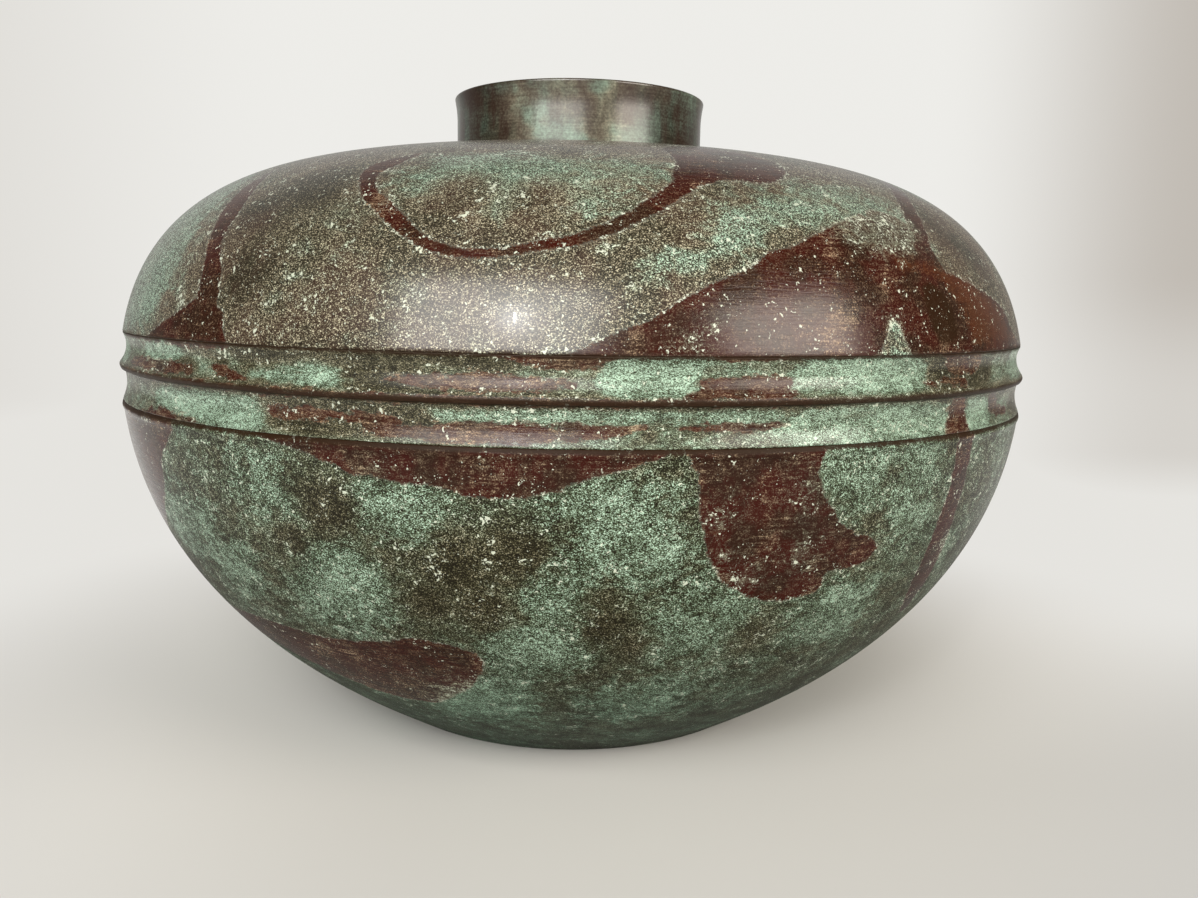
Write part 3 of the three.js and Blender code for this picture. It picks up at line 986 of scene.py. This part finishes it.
def section_object(name, outline):
    """A section as a loop of edges in the XZ plane, with the run and what shows on its points."""
    points, run, shows = outline
    mesh = bpy.data.meshes.new(name)
    vertices = [(radius, 0, level) for radius, level in points]
    mesh.from_pydata(vertices, [(i, (i + 1) % len(points)) for i in range(len(points))], [])
    for label, values in (("run", run / MM), ("shows", shows)):
        mesh.attributes.new(label, "FLOAT", "POINT").data.foreach_set("value", values)
    piece = bpy.data.objects.new(name, mesh)
    bpy.context.scene.collection.objects.link(piece)
    return piece


def turn(name, outline, segments, material, crust_depth=0.0):
    """A section turned into a solid piece by the lathe tree, as a plain mesh."""
    piece = section_object(name, outline)
    tree = bpy.data.node_groups.get("Lathe") or lathe_tree()
    modifier = piece.modifiers.new("Lathe", "NODES")
    modifier.node_group = tree
    inputs = {"Segments": segments, "Crust depth": crust_depth, "Finish": material}
    for item in tree.interface.items_tree:
        if item.in_out == "INPUT" and item.name in inputs:
            modifier[item.identifier] = inputs[item.name]
    depsgraph = bpy.context.evaluated_depsgraph_get()
    mesh = bpy.data.meshes.new_from_object(piece.evaluated_get(depsgraph))
    piece.modifiers.remove(modifier)
    loop, piece.data = piece.data, mesh
    bpy.data.meshes.remove(loop)
    mesh.name = name
    tidy_mesh(mesh)
    return piece


def tidy_mesh(mesh, weld=0.0):
    """Outward faces with no loose edges, smooth but for the hard edges of the turning."""
    work = bmesh.new()
    work.from_mesh(mesh)
    if weld:
        bmesh.ops.remove_doubles(work, verts=work.verts, dist=weld)
    loose = [edge for edge in work.edges if not edge.link_faces]
    bmesh.ops.delete(work, geom=loose, context="EDGES")
    bmesh.ops.recalc_face_normals(work, faces=work.faces)
    work.to_mesh(mesh)
    work.free()
    mesh.shade_smooth()
    mesh.set_sharp_from_angle(angle=math.radians(HARD_EDGE_DEGREES))


def stain(piece, stains):
    """Writes how deep each vertex lies inside the stains of each kind, in millimetres.

    The cleared shapes are cut out of the oxide.
    """
    mesh = piece.data
    count = len(mesh.vertices)
    places = np.zeros(count * 3)
    mesh.vertices.foreach_get("co", places)
    x, y, _ = places.reshape(-1, 3).T
    run, shows = np.zeros(count), np.zeros(count)
    mesh.attributes["run"].data.foreach_get("value", run)
    mesh.attributes["shows"].data.foreach_get("value", shows)
    azimuth = np.degrees(np.arctan2(x, -y))
    radius = np.hypot(x, y) / MM
    for kind, shapes in stains.items():
        depth = np.full(count, -STAIN_REACH_MM, float)
        for shape in shapes:
            depth = np.maximum(depth, shape(azimuth, run, radius))
        cut_out = stains.get("cleared", []) if kind == "oxide" else []
        for shape in cut_out:
            depth = np.minimum(depth, -shape(azimuth, run, radius))
        depth = np.where(shows > 0.5, np.minimum(depth, STAIN_REACH_MM), -STAIN_REACH_MM)
        mesh.attributes.new(kind, "FLOAT", "POINT").data.foreach_set("value", depth)


def mark_seams_and_shade(piece, levels):
    """Writes each vertex's distance in millimetres from the dark lines, (run, half width) each: the
    seams, and painted shade in the band's undercut.
    """
    mesh = piece.data
    run = np.zeros(len(mesh.vertices))
    mesh.attributes["run"].data.foreach_get("value", run)
    gap = np.min([np.abs(run - level) - half_width for level, half_width in levels], axis=0)
    gap = np.minimum(gap, SEAM_REACH_MM)
    mesh.attributes.new("seam_and_shade", "FLOAT", "POINT").data.foreach_set("value", gap)


def dress(piece, node):
    """Puts a piece on the vase's body, in place of its node."""
    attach(piece, BODY)
    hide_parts(node)


# Finishes

COAT_ROUGHNESS = 0.22
# Runs up the neck's skin: its lip, and where its inside darkens
NECK_LIP_RUN_MM = 22.2
NECK_INSIDE_RUNS_MM = (24, 27)


class Finish(Sheet):
    """A material under way: the patina's noises, stains and layers."""

    def __init__(self, name):
        self.material = bpy.data.materials.new(name)
        self.material.use_nodes = True
        super().__init__(self.material.node_tree)
        self.tree.nodes.clear()
        self.place = self.node("ShaderNodeTexCoord", None, None, "Object")
        self.x, self.y, self.z = self.split(self.place)

    def kept(self, name):
        """What a piece's mesh keeps under a name: its run, what shows, its seams and painted shade,
        or a stain.
        """
        settings = {"attribute_type": "GEOMETRY", "attribute_name": name}
        return self.node("ShaderNodeAttribute", settings, None, "Fac")

    def turned_place(self, squeeze):
        """Object coordinates drawn out round the axis: squeezed along the skin by a factor."""
        along_skin = self.kept("run") * (MM * squeeze)
        return self.vector(self.x, self.y, along_skin)

    def noise(self, size, detail=3.0, roughness=0.55, seed=0.0, place=None, swirl=0.0):
        """Noise about 0, mostly within -1 and 1, whose features have a given size in metres."""
        values = {
            "Vector": place or self.place,
            "W": seed,
            "Scale": 1 / size,
            "Detail": detail,
            "Roughness": roughness,
            "Distortion": swirl,
        }
        value = self.node("ShaderNodeTexNoise", {"noise_dimensions": "4D"}, values)
        return (value - 0.5) * 8

    def finish(self, colour, roughness, height, bump_depth, gloss, mirror=0.2, metallic=0.0):
        """The shader: gloss is the weight of a clear coat, mirror the base's own strength."""
        bump = self.node(
            "ShaderNodeBump", None, {"Strength": 1.0, "Distance": bump_depth, "Height": height}
        )
        values = {
            "Base Color": colour,
            "Roughness": roughness,
            "Metallic": metallic,
            "IOR": 1.5,
            "Specular IOR Level": mirror,
            "Coat Weight": gloss,
            "Coat Roughness": COAT_ROUGHNESS,
            "Normal": bump,
        }
        shader = self.node("ShaderNodeBsdfPrincipled", None, values)
        output = self.tree.nodes.new("ShaderNodeOutputMaterial")
        self.tree.links.new(shader.socket, output.inputs["Surface"])
        return self.material


def patina(
    name,
    colours,
    ground,
    thin,
    flake,
    cover,
    streak,
    contrast,
    blots,
    green,
    zone_gain,
    zone_edge,
    ragged,
    dusting,
    shine,
    mirror,
):
    """The mottled patina: a dark ground, pale flakes over it, red oxide stains and chalky specks.

    ground is the dark colour, thin the tint of thin crust, flake the size of the flakes, cover how
    much of the ground they hide, streak how far they are drawn out round the axis, contrast how
    strongly they stand out, blots how cloudy they lie and green how green they are away from the
    listed zones. Those thicken or thin them by zone_gain, and fade over zone_edge millimetres.
    ragged is how far the borders of the red wander, dusting how pale it is, shine how strongly the
    skin's own gloss mirrors the lamps and mirror how strongly the metal under it does.
    """
    f = Finish(name)
    turned = f.turned_place(streak)
    lathe = f.turned_place(squeeze=14)
    oxide, crust, bare_and_shade = (f.kept(kind) for kind in ("oxide", "crust", "bare_and_shade"))

    # Noise from broad clouds to fine grain, calmer towards the foot
    cloud = f.noise(30 * MM, 3, 0.6, seed=1)
    blot = f.noise(13 * MM, 3, 0.6, seed=13, swirl=1)
    clump = f.noise(6 * MM, 2, 0.6, seed=2, place=turned, swirl=1)
    flakes = f.noise(flake * 2.2, 2, 0.6, seed=3, place=turned, swirl=1.5)
    grain = f.noise(0.33 * MM, 1, 0.5, seed=4, place=turned)
    lines = f.noise(8 * MM, 2, 0.6, seed=5, place=lathe)
    calm = f.z.ramp(10 * MM, 55 * MM) * 0.5 + 0.5
    fine = (grain * 1.6 + flakes * 0.6) * calm + (clump + blot) * blots

    # Listed zones, with ragged borders
    wander = (clump * 0.25 + cloud * 0.25 + flakes * 0.12) * zone_edge
    crusted = (crust + wander).ramp(-zone_edge, zone_edge)
    bared = (bare_and_shade + wander).ramp(-zone_edge, zone_edge)
    fray = f.noise(5 * MM, 4, 0.65, seed=6, place=turned)
    edge = oxide + fray * ragged + flakes * 0.25 + grain * 0.2
    red = edge.ramp(-0.25, 0.25)

    # Pale flakes over the ground
    zones = (crusted - bared) * zone_gain
    # Towards the foot the level rises: painted light from the floor
    level = fine + zones + cloud * blots * 0.7 + cover + (1 - calm) * 0.5
    pits = f.noise(2.2 * MM, 3, 0.6, seed=15, place=turned, swirl=1).ramp(1.0, 1.5)
    shade = (level * 0.18 + 0.44).clamped() ** contrast * (1 - pits * 0.75)
    dark = f.mix(f.noise(14 * MM, 2, seed=8).ramp(-0.8, 0.8), ground, colours.olive)
    tint = (clump * 0.4 + cloud * 0.4 + zones * 1.6 + green).ramp(-1, 1)
    pale = f.mix(tint, colours.ash, colours.verdigris)
    # Painted light from the floor: towards the foot the crust drops its thin tint and the patina
    # takes the cooler wash
    crusty = f.mix(shade.ramp(0, 0.5) + 1 - calm, f.tinted(pale, thin), pale)
    colour = f.mix(shade, dark, crusty)
    colour = f.mix(2 - calm * 2, colour, f.tinted(colour, colours.floor_bounce_tint))

    # Red oxide with turning lines, under a thin film of the pale flakes
    upright = f.turned_place(squeeze=0.5)
    film = f.noise(14 * MM, 3, 0.65, seed=12, place=upright) + lines * 0.3 + grain * 0.2
    # The film includes painted light from the floor, which turns the red paler towards the foot
    dust_and_floor_light = film.ramp(0.2, 1.8) * 1.2 + crusted.ramp(0.5, 0.95) * 1.1 + (1 - calm) * 2
    red_level = grain * 0.7 + lines * 0.3 + flakes * 0.6 + dust_and_floor_light
    red_shade = (red_level * 0.22 + 0.22 + dusting).clamped() ** 3
    deep = f.mix(f.noise(10 * MM, 3, 0.6, seed=10).ramp(-0.8, 1), colours.red, colours.plum)
    film_colour = f.mix(0.8 - crusted * 0.5, pale, colours.dust)
    colour = f.mix(red, colour, f.mix(red_shade, deep, film_colour))
    scorched = (f.kept("scorch") + clump * 0.3).ramp(-1, 1.5)
    colour = f.mix(scorched * 0.85, colour, colours.soot_and_shade)
    # Rust streaks, and a painted glint on the band's ridge
    rust_and_glint_mask = (f.kept("rust_and_glint") + clump * 1.5 + flakes).ramp(-0.5, 4)
    colour = f.mix(rust_and_glint_mask * 0.5, colour, colours.rust_and_glint)

    # A thin pale line and chalky specks along the borders of the red
    beads = f.noise(1.2 * MM, 1, 0.5, seed=16).ramp(0.5, 0.9)
    rim = (1 - abs(edge + 0.12).ramp(0.05, 0.3)) * (beads * 0.8 + 0.1)
    colour = f.mix(rim * (1.1 - ragged * 1.2), colour, colours.chalk)
    border = edge.ramp(-2.2, -0.4) * (1 - edge.ramp(0.2, 1.4))
    crumbs = f.noise(0.9 * MM, 1, 0.5, seed=14, swirl=0.4) + clump * 0.3
    dots = f.noise(0.5 * MM, 1, 0.6, seed=9).highest(crumbs)
    dots = dots + clump * 0.3 + border * 0.15 + red * (crusted.ramp(0.4, 1) * 0.6 - 0.15)
    speck = dots.ramp(1.5, 2.0) * calm
    colour = f.mix(speck * 0.7, colour, colours.chalk)

    # Dark deposit along the seams, painted shade in the band's undercut, and the soot colour
    # inside, on the faces that don't show
    seams_and_shade = f.kept("seam_and_shade") + clump * 0.15 + grain * 0.15
    grime_and_shade = 1 - seams_and_shade.ramp(-0.1, 0.7)
    colour = f.mix(grime_and_shade * 0.9, colour, colours.soot_and_shade)
    colour = f.mix(1 - f.kept("shows"), colour, colours.soot_and_shade)

    # Relief and gloss, with a rubbed spot that is left smooth
    polish = f.kept("polished").ramp(0.1, 0.6)
    height = (shade * (1 - red * 0.8) + lines * (0.03 + red * 0.15) + speck * 0.3) * (1 - polish)
    wear = red * (1 - red_shade) * seams_and_shade.ramp(0, 1)
    roughness = (0.48 - wear * (0.3 - lines * 0.04)) * (1 - polish * 0.92)
    gloss = seams_and_shade.ramp(0, 1) * (shine + shade * 0.3) * (1 - red * 0.6)
    return f.finish(colour, roughness, height, 0.08 * MM, gloss, mirror)


def bowl_patina(colours):
    return patina(
        "mottled_bowl",
        colours,
        ground=colours.olive,
        thin=colours.moss,
        flake=1.0 * MM,
        cover=0.1,
        streak=1.3,
        contrast=3.5,
        blots=0.33,
        green=0.3,
        zone_gain=0.9,
        zone_edge=8,
        ragged=0.45,
        dusting=0,
        shine=0.25,
        mirror=0.1,
    )


def shoulder_patina(colours):
    return patina(
        "speckled_shoulder",
        colours,
        ground=colours.umber,
        thin=colours.veil,
        flake=0.45 * MM,
        cover=0.45,
        streak=1.1,
        contrast=4.2,
        blots=0.1,
        green=-0.8,
        zone_gain=0.9,
        zone_edge=6,
        ragged=0.25,
        dusting=0,
        shine=0.8,
        mirror=0.15,
    )


def band_patina(colours):
    return patina(
        "crusted_band",
        colours,
        ground=colours.olive,
        thin=colours.moss,
        flake=0.9 * MM,
        cover=0.5,
        streak=2.4,
        contrast=3.3,
        blots=0.35,
        green=0.2,
        zone_gain=1.1,
        zone_edge=2.2,
        ragged=0.8,
        dusting=0.12,
        shine=0.45,
        mirror=0.15,
    )


def neck_patina(colours):
    """A dull grey-green over brown, wiped up and down."""
    f = Finish("wiped_neck")
    upright = f.vector(f.x, f.y, f.z * 0.25)
    smear = f.noise(7 * MM, 3, seed=1, place=upright)
    cloud = f.noise(16 * MM, 3, seed=2)
    grain = f.noise(0.7 * MM, 2, 0.6, seed=3)
    lines = f.noise(12 * MM, 2, 0.6, seed=4, place=f.turned_place(squeeze=22))
    # The bare blocks darken the neck's sides: painted shade
    zones = f.kept("crust").ramp(-4, 4) * 0.6 - f.kept("bare_and_shade").ramp(-7, 7) * 1.2
    level = smear * 0.5 + cloud * 0.5 + grain * 0.35 + lines * 0.2 + zones
    shade = (level * 0.2 + 0.5).clamped() ** 2.5
    pale = f.mix(cloud.ramp(-0.8, 0.6), colours.ash, colours.verdigris)
    colour = f.mix(shade, f.mix(smear.ramp(-0.6, 0.8), colours.umber, colours.olive), pale)
    seams_and_shade = f.kept("seam_and_shade") + f.noise(4 * MM, 2, seed=11) * 0.2
    colour = f.mix((1 - seams_and_shade.ramp(0.1, 1.5)) * 0.8, colour, colours.soot_and_shade)
    inside = f.kept("run").ramp(*NECK_INSIDE_RUNS_MM)
    colour = f.mix(inside * 0.6, colour, colours.soot_and_shade)
    height = grain * 0.08 + shade * 0.3 + lines * 0.1
    roughness = 0.4 + shade * 0.1 + lines * 0.02
    return f.finish(colour, roughness, height, bump_depth=0.05 * MM, gloss=0.8)


def bare_bronze(colours):
    """The underside: turned metal gone dull brown."""
    f = Finish("turned_underside")
    from_axis = f.length(f.vector(f.x, f.y, 0))
    rings = f.noise(1.2 * MM, 3, 0.6, seed=1, place=f.vector(from_axis, 0, 0))
    cloud = f.noise(20 * MM, 4, 0.6, seed=2)
    grain = f.noise(0.8 * MM, 3, 0.6, seed=3)
    dirt = (cloud * 0.4 + grain * 0.15).ramp(-0.5, 1.0)
    colour = f.mix(dirt, colours.bare_metal, colours.umber)
    green = (cloud * -0.5 + grain * 0.3).ramp(0.2, 0.9)
    colour = f.mix(green * 0.4, colour, colours.verdigris)
    roughness = 0.45 + dirt * 0.12
    height = rings * 0.15 + grain * 0.05
    return f.finish(colour, roughness, height, 0.06 * MM, gloss=0, mirror=0.5, metallic=0.5)


def brazing(colours):
    """Dull yellow filler with a frosted skin."""
    f = Finish("brazing_filler")
    cloud = f.noise(6 * MM, 3, seed=1)
    grain = f.noise(0.5 * MM, 2, seed=2)
    colour = f.mix(cloud.ramp(-0.8, 2.4) * 0.6, colours.brazing_metal, colours.umber)
    roughness = 0.5 + grain * 0.02
    height = cloud * 0.25 + grain * 0.1
    return f.finish(colour, roughness, height, 0.08 * MM, gloss=0, mirror=0.5, metallic=0.7)


# Operators


def skin_length(outline):
    """How far a section's run goes, in millimetres."""
    return outline[1].max() / MM


class VASE_OT_bowl(bpy.types.Operator):
    """Turn the bowl, the lower shell on its foot ring"""

    bl_idname = "vase.bowl"
    bl_label = "Bowl"

    def execute(self, context):
        scene = context.scene
        outline = bowl_section(scene.vase_shape)
        material = bowl_patina(scene.vase_patina)
        piece = turn("turned_bowl", outline, scene.vase_shape.segments, material)
        mark_seams_and_shade(piece, [(0, 0.5), (skin_length(outline), 1.1)])
        stain(piece, BOWL_STAINS)
        dress(piece, "bowl_shell")
        return {"FINISHED"}


class VASE_OT_shoulder(bpy.types.Operator):
    """Turn the shoulder, the upper shell that the neck sits on"""

    bl_idname = "vase.shoulder"
    bl_label = "Shoulder"

    def execute(self, context):
        scene = context.scene
        outline = shoulder_section(scene.vase_shape)
        material = shoulder_patina(scene.vase_patina)
        piece = turn("turned_shoulder", outline, scene.vase_shape.segments, material)
        mark_seams_and_shade(piece, [(0, 0.2), (skin_length(outline), 0.4)])
        stain(piece, SHOULDER_STAINS)
        dress(piece, "shoulder_shell")
        return {"FINISHED"}


class VASE_OT_band(bpy.types.Operator):
    """Turn the fluted band round the waist"""

    bl_idname = "vase.band"
    bl_label = "Waist band"

    def execute(self, context):
        scene = context.scene
        shape = scene.vase_shape
        outline = band_section(shape)
        material = band_patina(scene.vase_patina)
        piece = turn("fluted_band", outline, shape.band_segments, material, shape.crust_depth)
        # The run to the undercut is longer than its height, because the skin follows the flute
        undercut = (LOWER_FLUTE_HEIGHT + UNDERCUT_HEIGHT / 2) / MM + 1.7
        # The dark line at the undercut is painted shade under the ridge
        mark_seams_and_shade(piece, [(0, -0.2), (undercut, 0.8), (skin_length(outline), 0.7)])
        stain(piece, BAND_STAINS_AND_GLINT)
        dress(piece, "waist_band")
        return {"FINISHED"}


class VASE_OT_neck(bpy.types.Operator):
    """Turn the neck, a short collar with a slightly flared lip"""

    bl_idname = "vase.neck"
    bl_label = "Neck collar"

    def execute(self, context):
        scene = context.scene
        material = neck_patina(scene.vase_patina)
        outline = neck_section(scene.vase_shape)
        piece = turn("neck_tube", outline, scene.vase_shape.segments, material)
        mark_seams_and_shade(piece, [(0, 0.2), (NECK_LIP_RUN_MM, 0)])
        stain(piece, NECK_STAINS_AND_SHADE)
        dress(piece, "neck_collar")
        return {"FINISHED"}


class VASE_OT_base_plate(bpy.types.Operator):
    """Turn the plate that closes the hole in the bowl's floor"""

    bl_idname = "vase.base_plate"
    bl_label = "Base plate"

    def execute(self, context):
        scene = context.scene
        material = bare_bronze(scene.vase_patina)
        outline = plate_section(scene.vase_shape)
        piece = turn("let_in_plate", outline, scene.vase_shape.segments, material)
        dress(piece, "base_plate")
        return {"FINISHED"}


class VASE_OT_brazing(bpy.types.Operator):
    """Fill the four joints with brazing metal"""

    bl_idname = "vase.brazing"
    bl_label = "Brazing metal"

    def execute(self, context):
        scene = context.scene
        material = brazing(scene.vase_patina)
        underside = NECK_SEAT - scene.vase_shape.wall
        neck_bore = SPIGOT_RADIUS + BRAZE_GAP
        bead = NECK_BEAD_RADIUS - neck_bore
        below, beside = at(SPIGOT_RADIUS, underside - bead), at(neck_bore + bead, underside)
        neck_bead = eased(below, at(neck_bore, underside), beside, bead)
        sections = {
            "bowl_braze": lip_brazing(
                BOWL_SEAT_RADIUS - BRAZE_GAP, BAND_BOTTOM, LOWER_LIP_END, BOWL_SEAT_END
            ),
            "shoulder_braze": lip_brazing(
                SHOULDER_SEAT_RADIUS - BRAZE_GAP, BAND_TOP, UPPER_LIP_END, SHOULDER_SEAT_END
            ),
            "neck_braze": section(
                (neck_bead, 1), (at(neck_bore, NECK_SEAT), 1), (at(SPIGOT_RADIUS, NECK_SEAT), 1)
            ),
            "base_braze": section(
                (at(PLATE_RADIUS, PLATE_UNDERSIDE), 1),
                (at(REBATE_RADIUS, PLATE_UNDERSIDE), 1),
                (at(REBATE_RADIUS, PLATE_TOP), 1),
                (at(PLATE_RADIUS - PLATE_BEVEL, PLATE_TOP), 1),
                (at(PLATE_RADIUS, PLATE_TOP - PLATE_BEVEL), 1),
            ),
        }
        for node, outline in sections.items():
            piece = turn(node + "_ring", outline, scene.vase_shape.segments, material)
            dress(piece, node)
        return {"FINISHED"}


# Studio

FLOOR_RADIUS = 1.1
WALL_SWEEP = 0.7
WALL_HEIGHT = 2.2
LAMP_TARGET_LEVEL = 0.12
EYE_SETBACK = 0.36


def paper_sweep(studio):
    """A pale floor that sweeps up into a wall all round."""
    t = np.linspace(0, math.pi / 2, 25)
    sweep = np.stack(
        [FLOOR_RADIUS + WALL_SWEEP * np.sin(t), WALL_SWEEP * (1 - np.cos(t))], axis=1
    )
    floor = [at(0, 0), at(0.4, 0), at(0.8, 0)]
    profile = np.vstack([*floor, sweep, at(FLOOR_RADIUS + WALL_SWEEP, WALL_HEIGHT)])
    columns = 128
    vertices = []
    for angle in np.arange(columns) * 2 * math.pi / columns:
        for radius, level in profile:
            vertices.append((radius * math.sin(angle), -radius * math.cos(angle), level))
    rows = len(profile)
    faces = []
    for column in range(columns):
        here, there = column * rows, (column + 1) % columns * rows
        for row in range(rows - 1):
            faces.append((here + row, here + row + 1, there + row + 1, there + row))
    mesh = bpy.data.meshes.new("paper_sweep")
    mesh.from_pydata(vertices, [], faces)
    tidy_mesh(mesh, weld=1e-6)
    mesh.materials.append(paper(studio))
    sweep_object = bpy.data.objects.new("paper_sweep", mesh)
    bpy.context.scene.collection.objects.link(sweep_object)


def paper(studio):
    """Matt paper on the floor, which turns into an evenly lit backdrop away from the vase.

    The backdrop is pale wherever the camera looks. It lights the vase from behind only, as the
    paper in a window-lit room does, so the vase's front mirrors a dim room.
    """
    f = Finish("pale_paper")
    distance = f.length(f.place)
    bearing = f.x / (f.y + EYE_SETBACK)
    # Where the camera looks: the shade at both sides, and the floor's own
    right = bearing.ramp(0.34, 0.62) * f.y.ramp(0.2, 0.6) * (f.z.ramp(0, 0.2) * 0.4 + 0.6)
    left = (bearing * -1).ramp(0.25, 0.7) * f.y.ramp(0.2, 1.0) * 0.4
    far_floor = (1 - f.z.ramp(0, 0.3)) * 0.2
    # Painted shadow: the floor close in front of the vase lies darker, both as the camera sees it
    # and in the light it sends
    near = 1 - distance.ramp(0.5, 1.1)
    front = (f.y * -1).ramp(-0.08, 0.1) * (0.28 - (f.x * -1).ramp(0.03, 0.15) * 0.12) * near
    colour = f.mix(right.highest(left).highest(far_floor), studio.paper, studio.paper_shade)
    colour = f.mix(front, colour, (0, 0, 0))
    # How brightly it glows for the camera, and how brightly for the vase
    seen = f.node("ShaderNodeLightPath", None, None, "Is Camera Ray")
    backdrop = distance.ramp(0.13 - seen * 0.02, 0.36 - seen * 0.06)
    mirrored = f.node("ShaderNodeLightPath", None, None, "Is Glossy Ray")
    dimmer = 1 - mirrored * (1 - studio.mirrored)
    room = dimmer * studio.room_glow
    behind = f.y.ramp(0.3, 1.5) * (1 - room) + room
    bounced = (1 - f.z.ramp(0, 0.1)) * (dimmer * 0.5 + 0.5) * studio.floor_glow
    unseen = (behind * studio.paper_glow).highest(bounced)
    strength = seen * studio.seen_glow + (1 - seen) * unseen
    dimmed = f.mix(mirrored * (1 - studio.mirrored), colour, (0, 0, 0))
    floor = f.node("ShaderNodeBsdfDiffuse", None, {"Color": dimmed})
    glow = f.node("ShaderNodeEmission", None, {"Color": colour, "Strength": strength})
    shader = f.node("ShaderNodeMixShader", None, {0: backdrop, 1: floor, 2: glow})
    output = f.tree.nodes.new("ShaderNodeOutputMaterial")
    f.tree.links.new(shader.socket, output.inputs["Surface"])
    return f.material


def direction(azimuth, elevation):
    """A unit vector towards an azimuth round from the front and an elevation, in degrees."""
    a, e = math.radians(azimuth), math.radians(elevation)
    return Vector((math.sin(a) * math.cos(e), -math.cos(a) * math.cos(e), math.sin(e)))


def softbox(name, azimuth, elevation, distance, width, height, glow, colour=(1, 1, 1)):
    """A rectangular lamp that faces the vase, and isn't seen itself."""
    light = bpy.data.lights.new(name, "AREA")
    light.shape = "RECTANGLE"
    light.size, light.size_y = width, height
    light.energy = glow * math.pi * width * height
    light.color = colour
    lamp = bpy.data.objects.new(name, light)
    target = Vector((0, 0, LAMP_TARGET_LEVEL))
    way = direction(azimuth, elevation)
    turn_to = (-way).to_track_quat("-Z", "Y").to_matrix().to_4x4()
    lamp.matrix_world = Matrix.Translation(target + way * distance) @ turn_to
    lamp.visible_camera = False
    bpy.context.scene.collection.objects.link(lamp)


def surroundings(studio):
    """Even light from above, dimmed where the vase mirrors it."""
    world = bpy.data.worlds.new("pale_room")
    world.use_nodes = True
    sheet = Sheet(world.node_tree)
    background = world.node_tree.nodes["Background"]
    background.inputs["Color"].default_value = (1, 1, 1, 1)
    mirrored = sheet.node("ShaderNodeLightPath", None, None, "Is Glossy Ray")
    strength = (1 - mirrored * (1 - studio.mirrored)) * studio.sky_glow
    world.node_tree.links.new(strength.socket, background.inputs["Strength"])
    bpy.context.scene.world = world


def place_camera():
    """The photograph's viewpoint."""
    camera = bpy.data.cameras.new("camera")
    camera.lens = LENS_MM
    camera.sensor_width = SENSOR_MM
    camera.clip_start = 0.01
    view = bpy.data.objects.new("camera", camera)
    view.matrix_world = (
        Matrix.Translation(CAMERA_PLACE)
        @ Matrix.Rotation(-CAMERA_YAW, 4, "Z")
        @ Matrix.Rotation(math.pi / 2 - CAMERA_PITCH, 4, "X")
        @ Matrix.Rotation(CAMERA_ROLL, 4, "Z")
    )
    bpy.context.scene.collection.objects.link(view)
    bpy.context.scene.camera = view


class VASE_OT_studio(bpy.types.Operator):
    """Set the floor, the lamps, the surroundings and the camera"""

    bl_idname = "vase.studio"
    bl_label = "Studio"

    def execute(self, context):
        studio = context.scene.vase_studio
        paper_sweep(studio)
        surroundings(studio)
        softbox(
            "left_window",
            azimuth=-18,
            elevation=27,
            distance=1.3,
            width=1.0,
            height=0.75,
            glow=studio.window_glow,
            colour=studio.window_light,
        )
        softbox(
            "right_window",
            azimuth=49,
            elevation=21,
            distance=1.3,
            width=0.7,
            height=0.55,
            glow=studio.side_glow,
            colour=studio.side_light,
        )
        softbox(
            "glint",
            azimuth=-14,
            elevation=28,
            distance=1.2,
            width=0.04,
            height=0.18,
            glow=studio.glint,
        )
        place_camera()
        context.scene.view_settings.view_transform = "Standard"
        return {"FINISHED"}


class VASE_PT_sidebar(bpy.types.Panel):
    """Lists the vase's pieces, its sizes and its colours"""

    bl_idname = "VASE_PT_sidebar"
    bl_label = "Bronze flower vase"
    bl_space_type = "VIEW_3D"
    bl_region_type = "UI"
    bl_category = "Vase"

    def draw(self, context):
        for operator in OPERATORS:
            self.layout.operator(operator.bl_idname)
        for name, kind in GROUPS.items():
            box = self.layout.box()
            for setting in kind.__annotations__:
                box.prop(getattr(context.scene, name), setting)


GROUPS = {"vase_shape": VaseShape, "vase_patina": VasePatina, "vase_studio": VaseStudio}
OPERATORS = (
    VASE_OT_studio,
    VASE_OT_bowl,
    VASE_OT_shoulder,
    VASE_OT_band,
    VASE_OT_neck,
    VASE_OT_base_plate,
    VASE_OT_brazing,
)


def register():
    for kind in (*GROUPS.values(), *OPERATORS, VASE_PT_sidebar):
        bpy.utils.register_class(kind)
    for name, group in GROUPS.items():
        setattr(bpy.types.Scene, name, bpy.props.PointerProperty(type=group))


def unregister():
    for name in GROUPS:
        delattr(bpy.types.Scene, name)
    for kind in reversed((*GROUPS.values(), *OPERATORS, VASE_PT_sidebar)):
        bpy.utils.unregister_class(kind)


def main():
    register()
    bpy.ops.vase.studio()
    bpy.ops.vase.bowl()
    bpy.ops.vase.shoulder()
    bpy.ops.vase.band()
    bpy.ops.vase.neck()
    bpy.ops.vase.base_plate()
    bpy.ops.vase.brazing()


if __name__ == "__main__":
    main()
